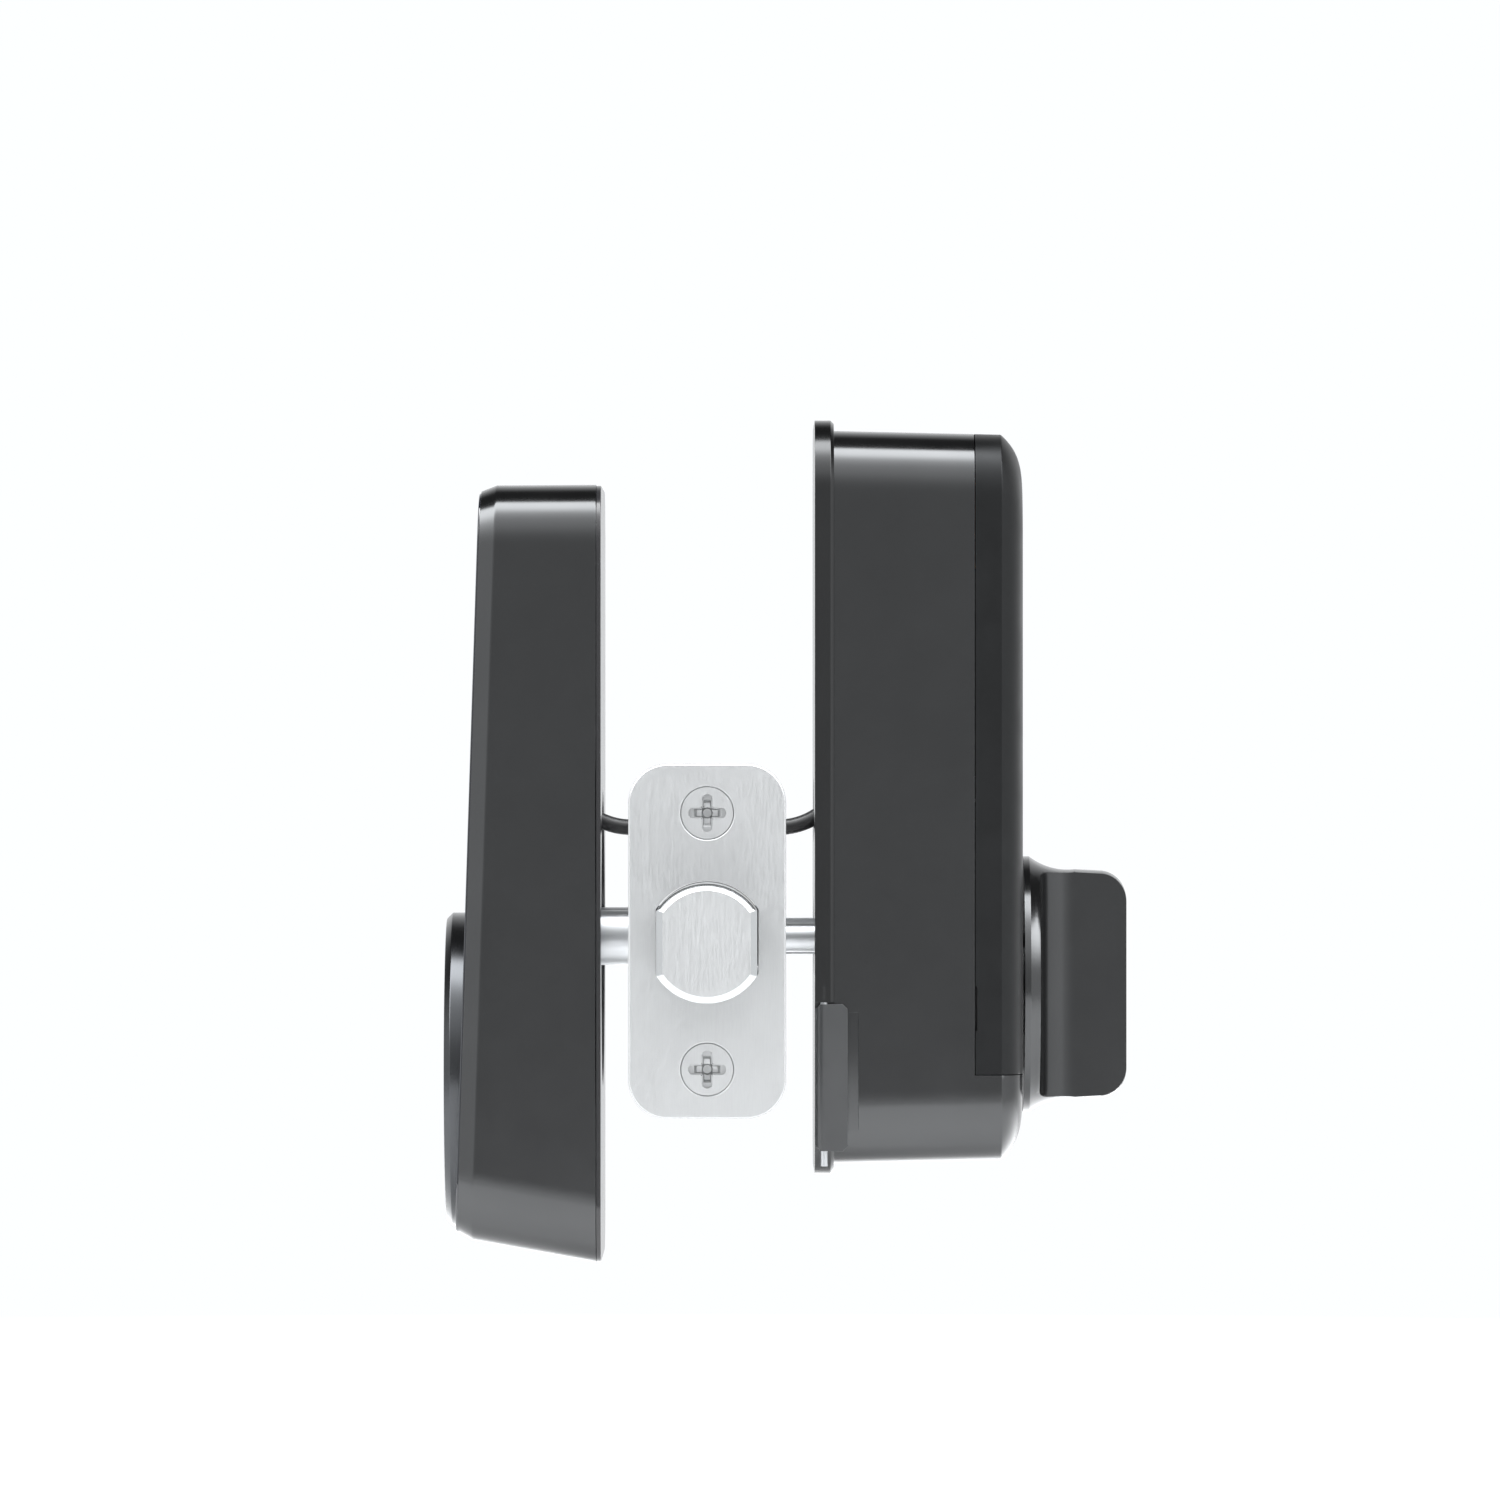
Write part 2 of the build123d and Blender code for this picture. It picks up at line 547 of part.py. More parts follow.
def legend_face(name):
    strokes = legend_strokes(name)
    face = strokes[0]
    for stroke in strokes[1:]:
        face += stroke
    return scale(Pos(-0.5, -0.8) * face, by=DIGIT_UNIT)


def keypad_legends_solid():
    solids = None
    for index, name in enumerate("123456789*0#"):
        row, column = divmod(index, 3)
        place = Pos(KEY_COLUMNS[column], KEY_TOP_ROW - row * KEY_ROW_PITCH)
        mark = front_slab(place * legend_face(name), -PANEL_PROUD, LEGEND_DEPTH - PANEL_PROUD)
        solids = mark if solids is None else solids + mark
    return solids


def keypad_legends():
    return group([keypad_legends_solid()])


TOUCH_BOARD_BACK = 2.1          # depth of the touch board's back behind the front's plane


def touch_sensor_board():
    outline = front_outline(PANEL_MARGIN + LEDGE + 0.3)
    board = front_slab(outline, PANEL_THICK - PANEL_PROUD + 0.02, TOUCH_BOARD_BACK)
    return board - rod(0, DISC_Z, DISC_BOSS_RADIUS + 0.4, -50, -30)


SENSOR_RADIUS, LIGHT_RING_RADIUS = 10.5, 13.0
SENSOR_RECESS = 1.2


def sensor_bezel():
    """Raised disc on the leaning front, its own face parallel to the door."""
    disc = rod(0, DISC_Z, DISC_RADIUS, DISC_FRONT, -36.0)
    disc = split(disc, bisect_by=FRONT.offset(PANEL_PROUD + 0.02), keep=Keep.TOP)
    rim = disc.faces().sort_by(Axis.X)[0].edges()
    disc = chamfer(rim, DISC_CHAMFER)
    boss = rod(0, DISC_Z, DISC_BOSS_RADIUS - 0.2, DISC_FRONT + 2, -36.2)
    bore = rod(0, DISC_Z, LIGHT_RING_RADIUS + 0.02, DISC_FRONT - 1, DISC_FRONT + 4)
    dish = slab(Pos(0, DISC_Z) * Circle(LIGHT_RING_RADIUS + 1.6), DISC_FRONT - 1, DISC_FRONT + 0.5)
    behind = rod(0, DISC_Z, 9.0, DISC_FRONT, -30)
    return disc + boss - bore - dish - behind


def sensor_light_ring():
    return tube(0, DISC_Z, LIGHT_RING_RADIUS, SENSOR_RADIUS + 0.1, DISC_FRONT + 0.6, DISC_FRONT + 3.9)


def fingerprint_sensor():
    """Round pad with a shallow dish for the fingertip, on a stem that reaches the board behind."""
    front, rear, stem_end = DISC_FRONT + 1.0, DISC_FRONT + 3.9, -33.0
    dish_radius, dish_drop, stem_radius = 9.0, 0.7, 8.0
    middle = (front + dish_drop * 0.75, dish_radius / 2)
    dish = ThreePointArc((front + dish_drop, 0), middle, (front, dish_radius))
    side = Polyline((front, dish_radius), (front, SENSOR_RADIUS), (rear, SENSOR_RADIUS),
                    (rear, stem_radius), (stem_end, stem_radius), (stem_end, 0),
                    (front + dish_drop, 0))
    profile = make_face(dish.edges() + side.edges())
    return Pos(0, 0, DISC_Z) * revolve(profile, axis=Axis.X)


EXT_BOARD_X = (-30.5, -28.9)


def exterior_circuit_board():
    outline = rounded(-29.5, 29.5, -46.5, 69.0, 6.0)
    board = slab(outline, *EXT_BOARD_X)
    chips = [(-14, 30, 8, 8, 1.2), (14, 54, 12, 10, 2.0), (14, 6, 6, 10, 1.4), (-12, -14, 10, 6, 1.6),
             (-12, 56, 5, 5, 1.0), (16, -30, 7, 5, 2.4)]
    for y, z, wide, high, tall in chips:
        board += box(EXT_BOARD_X[1] - 0.1, EXT_BOARD_X[1] + tall, y - wide / 2, y + wide / 2,
                     z - high / 2, z + high / 2)
    for y, z in BOARD_BOSS_YZ:
        board -= rod(y, z, 1.5, EXT_BOARD_X[0] - 1, EXT_BOARD_X[1] + 1)
    return board


def exterior_board_posts():
    """Stand-offs between the touch sensor board and the circuit board."""
    posts = []
    for y, z in BOARD_BOSS_YZ:
        post = rod(y, z, 2.6, -40, EXT_BOARD_X[0] - 0.02)
        post = split(post, bisect_by=FRONT.offset(-TOUCH_BOARD_BACK - FIT), keep=Keep.BOTTOM)
        posts.append(post - rod(y, z, 1.0, -35.5, EXT_BOARD_X[0] + 1))
    return group(posts)


def exterior_board_screws():
    screw = pan_screw(4.0, 1.8, 5.0)
    return group([facing(EXT_BOARD_X[1] + 0.02, y, z, (1, 0, 0)) * screw for y, z in BOARD_BOSS_YZ])


def connector(x_board, side):
    """Socket on a board with the lead's plug in it; the lead enters from below."""
    depth, half, height = 5.2, 4.5, 7.0
    x0, x1 = sorted((x_board, x_board + side * depth))
    body = box(x0, x1, -half, half, HARNESS_TOP_Z, HARNESS_TOP_Z + height)
    ends = body.edges().filter_by(Axis.Y)
    return chamfer(ends, 0.4)


def exterior_connector():
    return connector(EXT_BOARD_X[1] + 0.02, 1)


def power_port():
    """Emergency power socket that opens in the underside."""
    bottom = EXT_BOTTOM + EXT_UNDERSIDE_SLOPE * (EXT_BACK - PORT_X) + 0.4
    outline = Pos(PORT_X, 0) * RectangleRounded(PORT_HEIGHT, PORT_WIDTH, 1.6)
    hollow = Pos(PORT_X, 0) * RectangleRounded(PORT_HEIGHT - 0.7, PORT_WIDTH - 0.7, 1.25)
    shell = extrude(Plane.XY.offset(bottom) * outline, amount=8)
    shell -= extrude(Plane.XY.offset(bottom - 1) * hollow, amount=7.5)
    tongue = Pos(PORT_X, 0, bottom + 4.3) * Box(0.7, 6.6, 6.0)
    return shell + tongue


def exterior_back_plate():
    half = EXT_HALF_WIDTH - EXT_WALL - 0.2
    low, high = EXT_BOTTOM + EXT_WALL + 0.6, EXT_TOP - EXT_WALL - 0.4
    outline = rounded(-half, half, low, high, EXT_CORNER - EXT_WALL)
    plate = slab(outline, EXT_BACK - PLATE_STEEL, EXT_BACK)
    plate -= slab(Pos(0, HARNESS_RUN_Z + 2) * SlotOverall(16, 9), EXT_BACK - 9, EXT_BACK + 1)
    plate -= rod(0, 0, 6.5, EXT_BACK - 9, EXT_BACK + 1)
    for y in (-THROUGH_BOLT_Y, THROUGH_BOLT_Y):
        plate -= rod(y, 0, POST_RADIUS + 0.02, EXT_BACK - PLATE_STEEL + 0.4, EXT_BACK + 1)
        plate -= rod(y, 0, THROUGH_BOLT_RADIUS + 0.2, EXT_BACK - 9, EXT_BACK + 1)
    for y, z in PLATE_SCREW_YZ:
        plate -= rod(y, z, 1.6, EXT_BACK - 9, EXT_BACK + 1)
        plate -= facing(EXT_BACK, y, z, (1, 0, 0)) * countersink(*PLATE_SCREW)
    return plate


def exterior_plate_screws():
    screw = flat_screw(*PLATE_SCREW, 8.5)
    return group([facing(EXT_BACK - 0.02, y, z, (1, 0, 0)) * screw for y, z in PLATE_SCREW_YZ])


def exterior_gasket():
    """Rubber pad between the unit and the door, cut out around the cross bore."""
    inset = 0.2
    half = EXT_HALF_WIDTH - inset
    outline = rounded(-half, half, EXT_BOTTOM + inset, EXT_TOP - inset, EXT_CORNER - inset)
    return slab(outline, EXT_BACK + 0.005, -DOOR_HALF) - rod(0, 0, 25.0, -30, 0)


# ---------------------------------------------------------------- thumbturn unit: shells
def int_section(x, inset, squeeze, corner):
    """Section of the body at depth x; `squeeze` moves its outline in as the front rounds off."""
    lean = INT_DRAFT * (x - PLATE_FRONT)
    move = inset + squeeze + lean
    half = INT_HALF_WIDTH - move
    return Plane.YZ.offset(x) * rounded(-half, half, INT_BOTTOM + move, INT_TOP - move, corner)


def interior_form(inset):
    """Straight body with a cushion-shaped front: steep at its rim and flat from 12 mm in."""
    start = PLATE_FRONT if inset == 0 else PLATE_FRONT - 1
    crease = CREASE_X - inset
    body = loft([int_section(start, inset, 0, INT_CORNER - inset),
                 int_section(crease, inset, 0, INT_CORNER - inset)], ruled=True)
    sections = []
    for share in (0.0, 0.08, 0.18, 0.32, 0.55, 1.0):
        depth = PILLOW_DEPTH * (1 - (1 - share) ** 4)
        squeeze = PILLOW_INSET * share
        section = int_section(crease, inset, squeeze, INT_CORNER - inset - 0.3 * squeeze)
        sections.append(Pos(depth, 0, 0) * section)
    return body + loft(sections)


def cover_zone(gap):
    """The part of the body that belongs to the battery cover."""
    return box(COVER_X + gap, CREASE_X + 20, -50, 50, COVER_Z + gap, INT_TOP + 20)


NOTCH_HALF = THUMB_NECK_RADIUS + 0.9


def neck_notch(half):
    """Slot, open at the bottom, that lets the cover slide up past the thumbturn's neck."""
    slot = rod(0, THUMB_Z, half, COVER_X, CREASE_X + 20)
    return slot + box(COVER_X, CREASE_X + 20, -half, half, COVER_Z - 5, THUMB_Z)


HOOK_POCKET = (21.5, 24.6)
LATCH_Z = (-34.5, -10.6)


def interior_housing():
    shell = interior_form(0) - interior_form(INT_WALL)
    shell -= cover_zone(-PARTING / 2)
    for side in (-1, 1):
        y0, y1 = sorted((side * (INT_HALF_WIDTH - 1.1), side * (INT_HALF_WIDTH + 1)))
        shell -= box(*HOOK_POCKET, y0, y1, LATCH_Z[0] + 1.4, LATCH_Z[1] - 1.4)
    return shell


NOTCH_MARK_Z, NOTCH_MARK_HEIGHT = -11.4, 7.3
RAIL_Z = (22.0, 48.0)           # guide rails behind the cover's side walls


def battery_cover():
    cover = (interior_form(0) - interior_form(INT_WALL)) & cover_zone(PARTING / 2)
    cover -= neck_notch(NOTCH_HALF)
    for side in (-1, 1):
        grip = box(COVER_X - 1, COVER_X + 0.35, *sorted((side * 30, side * 40)),
                   NOTCH_MARK_Z - NOTCH_MARK_HEIGHT / 2, NOTCH_MARK_Z + NOTCH_MARK_HEIGHT / 2)
        cover -= grip
        inner = INT_HALF_WIDTH - INT_WALL - 1.3
        rail_span = sorted((side * (inner - 1.2), side * inner))
        bridge_span = sorted((side * (inner - 0.2), side * (inner + 2)))
        cover += box(COVER_X - 2.6, COVER_X + 3, *rail_span, *RAIL_Z)
        cover += box(COVER_X + 0.6, COVER_X + 3, *bridge_span, *RAIL_Z)
    return cover


def latch_recess(side):
    """Space in the plate's edge for a side latch."""
    y0, y1 = sorted((side * (INT_HALF_WIDTH - 0.4), side * 45))
    return box(DOOR_HALF - 1, PLATE_FRONT + 1, y0, y1, LATCH_Z[0] - 0.3, LATCH_Z[1] + 0.3)


PLATE_HALF = INT_HALF_WIDTH + INT_RIM
PLATE_CORNER = INT_CORNER + INT_RIM
LATCH_AXIS_X, LATCH_AXIS_Y, LATCH_PIN_RADIUS = 18.95, 37.0, 0.6


def interior_mounting_plate():
    low, high = INT_BOTTOM - INT_RIM, INT_TOP + INT_RIM
    plate = slab(rounded(-PLATE_HALF, PLATE_HALF, low, high, PLATE_CORNER), DOOR_HALF, PLATE_FRONT)
    rim = plate.faces().sort_by(Axis.X)[-1].edges()
    plate = chamfer(rim, PLATE_CHAMFER)
    plate -= rod(0, 0, 6.5, 0, 30)
    plate -= slab(Pos(0, HARNESS_RUN_Z + 3) * SlotOverall(16, 11), 0, 30)
    for y in (-THROUGH_BOLT_Y, THROUGH_BOLT_Y):
        seat = countersink(THROUGH_BOLT_HEAD, 2 * THROUGH_BOLT_RADIUS)
        plate -= rod(y, 0, THROUGH_BOLT_RADIUS + 0.2, 0, 30)
        plate -= facing(BOLT_HEAD_X, y, 0, (1, 0, 0)) * seat
        plate -= rod(y, 0, THROUGH_BOLT_HEAD / 2 + SEAT_PLAY, BOLT_HEAD_X, 30)
    for side in (-1, 1):
        plate -= latch_recess(side)
        pin_at = Pos(LATCH_AXIS_X, side * LATCH_AXIS_Y, sum(LATCH_Z) / 2)
        plate -= pin_at * Cylinder(LATCH_PIN_RADIUS + 0.01, 30)
    return plate


def release_latch(side):
    """Side latch: hinged on the plate by a pin, its lip hooked into the body's side."""
    axis_x, axis_y = LATCH_AXIS_X, LATCH_AXIS_Y
    round_back = LATCH_AXIS_X - DOOR_HALF - 0.12
    inner, outer = INT_HALF_WIDTH + 0.15, axis_y + round_back
    front, hook_in, hook_end_gap = 22.8, INT_HALF_WIDTH - 0.75, 2.2
    profile = Pos(axis_x, axis_y) * Circle(round_back)
    arm = Polyline((axis_x, inner), (front, inner), (front, outer), (axis_x, outer), close=True)
    lip = Polyline((front - 1.1, inner + 0.2), (front - 0.7, hook_in), (front, hook_in),
                   (front, inner + 0.2), close=True)
    low, high = LATCH_Z
    solid = extrude(Plane.XY.offset(low) * (profile + make_face(arm)), amount=high - low)
    back, cut = axis_x - round_back, 0.8
    outline = Polyline((back + cut, low), (front - cut, low), (front, low + cut), (front, high - cut),
                       (front - cut, high), (back + cut, high), (back, high - cut), (back, low + cut),
                       close=True)
    solid = solid & edge_slab(make_face(outline), 30, 45)
    hook_length = high - low - 2 * hook_end_gap
    solid += extrude(Plane.XY.offset(low + hook_end_gap) * make_face(lip), amount=hook_length)
    solid -= Pos(axis_x, axis_y, (low + high) / 2) * Cylinder(LATCH_PIN_RADIUS + FIT, 40)
    return solid if side > 0 else mirror(solid, about=Plane.XZ)


def release_latch_pins():
    pins = [Pos(LATCH_AXIS_X, side * LATCH_AXIS_Y, sum(LATCH_Z) / 2)
            * Cylinder(LATCH_PIN_RADIUS, LATCH_Z[1] - LATCH_Z[0] + 5) for side in (-1, 1)]
    return group(pins)


# ---------------------------------------------------------------- thumbturn unit: cells and board
TRAY_X = (30.8, 32.2)           # the tray's floor
TRAY_FRONT, TRAY_CORNER = 40.4, 5.8
TRAY_HALF, TRAY_BOTTOM, TRAY_TOP, TRAY_WALL = 32.0, 20.8, 80.0, 1.4


def battery_tray():
    outline = rounded(-TRAY_HALF, TRAY_HALF, TRAY_BOTTOM, TRAY_TOP, TRAY_CORNER)
    tray = slab(outline, TRAY_X[0], TRAY_FRONT)
    hollow = rounded(-TRAY_HALF + TRAY_WALL, TRAY_HALF - TRAY_WALL, TRAY_BOTTOM + TRAY_WALL,
                     TRAY_TOP - TRAY_WALL, TRAY_CORNER - TRAY_WALL)
    tray -= slab(hollow, TRAY_X[1], 50)
    for column in (-1, 0, 1):
        rib_y = column * CELL_PITCH
        tray += box(TRAY_X[1] - 0.1, TRAY_X[1] + 2.2, rib_y - 0.4, rib_y + 0.4,
                    TRAY_BOTTOM + 4, TRAY_TOP - 4)
    return tray


def cell_places():
    return [((index - 1.5) * CELL_PITCH, index % 2 == 0) for index in range(4)]


def batteries():
    """Four cells side by side, turned end for end by turns."""
    nipple_radius, nipple_height = 2.7, 1.2
    can_length = CELL_LENGTH - nipple_height
    can = Cylinder(CELL_RADIUS, can_length)
    can = fillet(can.edges(), 0.6)
    cell = can + Pos(0, 0, can_length / 2 + 0.5) * Cylinder(nipple_radius, nipple_height)
    cells = []
    for y, upward in cell_places():
        middle = CELL_BOTTOM + CELL_LENGTH / 2 + (-1 if upward else 1) * nipple_height / 2
        cells.append(Pos(CELL_X, y, middle) * (cell if upward else Rot(180, 0, 0) * cell))
    return group(cells)


def battery_contacts():
    """A flat spring plate at each cell's button end and a coil spring at its flat end."""
    plate_thick, air, wire = 0.4, 0.06, 0.35
    floor, ceiling = TRAY_BOTTOM + TRAY_WALL + air, TRAY_TOP - TRAY_WALL - air
    cell_top = CELL_BOTTOM + CELL_LENGTH
    low_room = CELL_BOTTOM - floor - plate_thick - 2 * air
    high_room = ceiling - cell_top - plate_thick - 2 * air
    pieces = []
    for y, upward in cell_places():
        for z in (floor + plate_thick / 2, ceiling - plate_thick / 2):
            pieces.append(Pos(CELL_X, y, z) * Box(10.0, 8.0, plate_thick))
        coil_room = (low_room if upward else high_room) - 2 * wire
        coil = Helix(pitch=coil_room / 2.5, height=coil_room, radius=3.6)
        spring = sweep(Plane(origin=coil @ 0, z_dir=coil % 0) * Circle(wire), path=coil)
        spring_z = floor + plate_thick + air + wire if upward else cell_top + air + wire
        pieces.append(Pos(CELL_X, y, spring_z) * spring)
        stud_room = high_room if upward else low_room
        stud_z = cell_top + air if upward else floor + plate_thick + air
        pieces.append(Pos(CELL_X, y, stud_z + stud_room / 2) * Cylinder(2.0, stud_room))
    return group(pieces)


INT_BOARD_X = (26.2, 27.8)
INT_BOARD_SCREW_YZ = [(y, z) for y in (-26.0, 26.0) for z in (30.0, 72.0)]


def interior_circuit_board():
    board = slab(rounded(-30.0, 30.0, 25.0, 78.0, 2.0), *INT_BOARD_X)
    for y, z in INT_BOARD_SCREW_YZ:
        board -= rod(y, z, 1.5, 20, 32)
    chips = [(-14, 60, 9, 9, 1.2), (12, 64, 14, 9, 2.0), (-16, 40, 6, 8, 1.6), (16, 42, 8, 6, 1.8)]
    for y, z, wide, high, tall in chips:
        board += box(INT_BOARD_X[0] - tall, INT_BOARD_X[0] + 0.1, y - wide / 2, y + wide / 2,
                     z - high / 2, z + high / 2)
    return board


def interior_connector():
    return connector(INT_BOARD_X[0] - 0.02, -1)


def interior_board_posts():
    ends = (INT_BOARD_X[1] + 0.02, TRAY_X[0] - 0.02)
    return group([tube(y, z, 2.4, 1.0, *ends) for y, z in INT_BOARD_SCREW_YZ])


def interior_board_screws():
    screw = pan_screw(4.0, 1.8, 4.0)
    seat = INT_BOARD_X[0] - 0.02
    return group([facing(seat, y, z, (-1, 0, 0)) * screw for y, z in INT_BOARD_SCREW_YZ])


# ---------------------------------------------------------------- thumbturn unit: gearbox
BOSS_YZ = [(-28.5, 12.0), (28.5, 12.0), (28.5, -27.0), (-10.0, -30.0)]
AXLE_RADIUS = 1.5
GEARBOX_SCREW = (4.2, 2.1)      # head and shank diameters
SHAFT_RADIUS = 5.0
TOWER_END = 50.2
BUTTON_YZ = (22.0, 12.0)
BUTTON_RADIUS, BUTTON_TRAVEL = 2.0, 0.8
MOTOR_CAN_RADIUS = 6.0
MOTOR_X = (27.2, 43.6)
HUB_BEARING_RADIUS = 5.5
DECK_HALF, DECK_LOW, DECK_HIGH = 32.2, -33.2, 19.0


def gearbox_cover():
    """Deck in front of the gears, with the thumbturn's bearing and the gearbox's pillars."""
    skirt, wall, corner = 12.0, 1.4, 6.0
    outline = rounded(-DECK_HALF, DECK_HALF, DECK_LOW, DECK_HIGH, corner)
    hollow = rounded(-DECK_HALF + wall, DECK_HALF - wall, DECK_LOW + wall, DECK_HIGH - wall, corner - wall)
    deck = slab(outline, DECK_X - skirt, DECK_X + DECK_THICK) - slab(hollow, DECK_X - 20, DECK_X)
    deck += rod(0, THUMB_Z, 8.0, DECK_X - 3.2, TOWER_END)
    deck += tube(*MOTOR_AT, 7.6, MOTOR_CAN_RADIUS + 0.1, DECK_X - 9, DECK_X + 0.1)
    for y, z in BOSS_YZ:
        deck += rod(y, z, 3.0, GEARBOX_REAR_X + REAR_PLATE_THICK + 0.02, DECK_X + 0.1)
        deck -= rod(y, z, 1.1, GEARBOX_REAR_X, GEARBOX_REAR_X + 12)
    for at in (IDLER_AT, STEP_AT):
        deck += rod(*at, 3.0, DECK_X - 4, DECK_X + 0.1)
        deck -= rod(*at, AXLE_RADIUS + 0.01, DECK_X - 5, DECK_X - 0.4)
    deck -= rod(0, THUMB_Z, SHAFT_RADIUS + FIT, 30, 60)
    return deck - rod(*BUTTON_YZ, BUTTON_RADIUS + 0.15, DECK_X - 2, DECK_X + 5)


def gearbox_rear_plate():
    outline = rounded(-32.0, 32.0, -33.0, 15.4, 5.0)
    plate = slab(outline, GEARBOX_REAR_X, GEARBOX_REAR_X + REAR_PLATE_THICK)
    plate -= rod(0, 0, HUB_BEARING_RADIUS + FIT, 20, 24)
    for at in (IDLER_AT, STEP_AT):
        plate -= rod(*at, AXLE_RADIUS + 0.01, 20, 24)
    for y, z in BOSS_YZ:
        plate -= rod(y, z, 1.2, 20, 24)
        plate -= facing(GEARBOX_REAR_X, y, z, (-1, 0, 0)) * countersink(*GEARBOX_SCREW)
    return plate


def gearbox_screws():
    screw = flat_screw(*GEARBOX_SCREW, 10.0)
    return group([facing(GEARBOX_REAR_X + 0.02, y, z, (-1, 0, 0)) * screw for y, z in BOSS_YZ])


def gear_axles():
    ends = (GEARBOX_REAR_X + 0.3, DECK_X - 0.5)
    return group([rod(*at, AXLE_RADIUS, *ends) for at in (IDLER_AT, STEP_AT)])


THUMB_PHASE = 0.0
IDLER_PHASE = meshed_phase((0, THUMB_Z), DRIVE_TEETH, THUMB_PHASE, IDLER_AT, IDLER_TEETH)
SPINDLE_PHASE = meshed_phase(IDLER_AT, IDLER_TEETH, IDLER_PHASE, (0, 0), DRIVE_TEETH)
STEP_PHASE = meshed_phase((0, 0), DRIVE_TEETH, SPINDLE_PHASE, STEP_AT, STEP_PINION_TEETH)
MOTOR_PHASE = meshed_phase(STEP_AT, STEP_WHEEL_TEETH, 0.0, MOTOR_AT, MOTOR_TEETH)
KEY_FLAT = 3.4                  # distance from the thumbturn's axis to the flat on its shaft


def shaft_section(radius, play):
    """Shaft end with one flat, which carries the gear round with it."""
    return Circle(radius + play) & Pos(0, -20 + KEY_FLAT + play) * Rectangle(40, 40)


def idler_gear():
    body = gear(IDLER_AT, IDLER_TEETH, GEAR_MODULE, IDLER_PHASE, MID_PLANE[0], FRONT_PLANE[1])
    body += rod(*IDLER_AT, 4.0, GEARBOX_REAR_X + 1.8, DECK_X - 4.4)
    return body - rod(*IDLER_AT, AXLE_RADIUS + FIT, 20, 50)


def radial_web(outer, inner):
    """Ring-shaped recess that lightens the face of a gear."""
    return Circle(outer) - Circle(inner)


def spindle_gear():
    body = gear((0, 0), DRIVE_TEETH, GEAR_MODULE, SPINDLE_PHASE, *MID_PLANE)
    body += rod(0, 0, HUB_BEARING_RADIUS, GEARBOX_REAR_X - 0.3, MID_PLANE[1])
    web = radial_web(DRIVE_RADIUS - 3.0, HUB_BEARING_RADIUS + 0.8)
    body -= slab(web, MID_PLANE[0] + 4, MID_PLANE[1])
    return body - spindle_hole(20, MID_PLANE[1] - 1.2)


def step_gear():
    """Wheel driven by the motor pinion, in one piece with the pinion that drives the spindle gear."""
    body = gear(STEP_AT, STEP_WHEEL_TEETH, FINE_MODULE, 0.0, *REAR_PLANE)
    body += gear(STEP_AT, STEP_PINION_TEETH, GEAR_MODULE, STEP_PHASE, REAR_PLANE[1] - 0.1, MID_PLANE[1])
    body += rod(*STEP_AT, 2.6, MID_PLANE[1] - 0.1, DECK_X - 4.4)
    return body - rod(*STEP_AT, AXLE_RADIUS + FIT, 20, 50)


def thumbturn_gear():
    body = gear((0, THUMB_Z), DRIVE_TEETH, GEAR_MODULE, THUMB_PHASE, *FRONT_PLANE)
    return body - slab(Pos(0, THUMB_Z) * shaft_section(4.0, 0.03), 30, 40)


def motor():
    """Flat-sided motor can with its front bearing and two tags."""
    y, z = MOTOR_AT
    can = slab(Pos(y, z) * (Circle(MOTOR_CAN_RADIUS) & Rectangle(20, 10.0)), *MOTOR_X)
    can = chamfer(can.faces().filter_by(Axis.X).edges(), 0.35)
    bearing = rod(y, z, 2.2, MOTOR_X[0] - 0.6, MOTOR_X[0] + 0.2)
    for tag_y in (y - 3.4, y + 3.4):
        can += box(MOTOR_X[1] - 0.2, MOTOR_X[1] + 0.6, tag_y - 0.9, tag_y + 0.9, z - 0.2, z + 0.2)
    return can + bearing - rod(y, z, 1.05, 26, MOTOR_X[0] + 6)


def motor_pinion():
    body = gear(MOTOR_AT, MOTOR_TEETH, FINE_MODULE, MOTOR_PHASE, *REAR_PLANE)
    return body + rod(*MOTOR_AT, 1.0, REAR_PLANE[0] - 0.2, MOTOR_X[0] + 5)


CLIP_X = (39.6, 40.4)


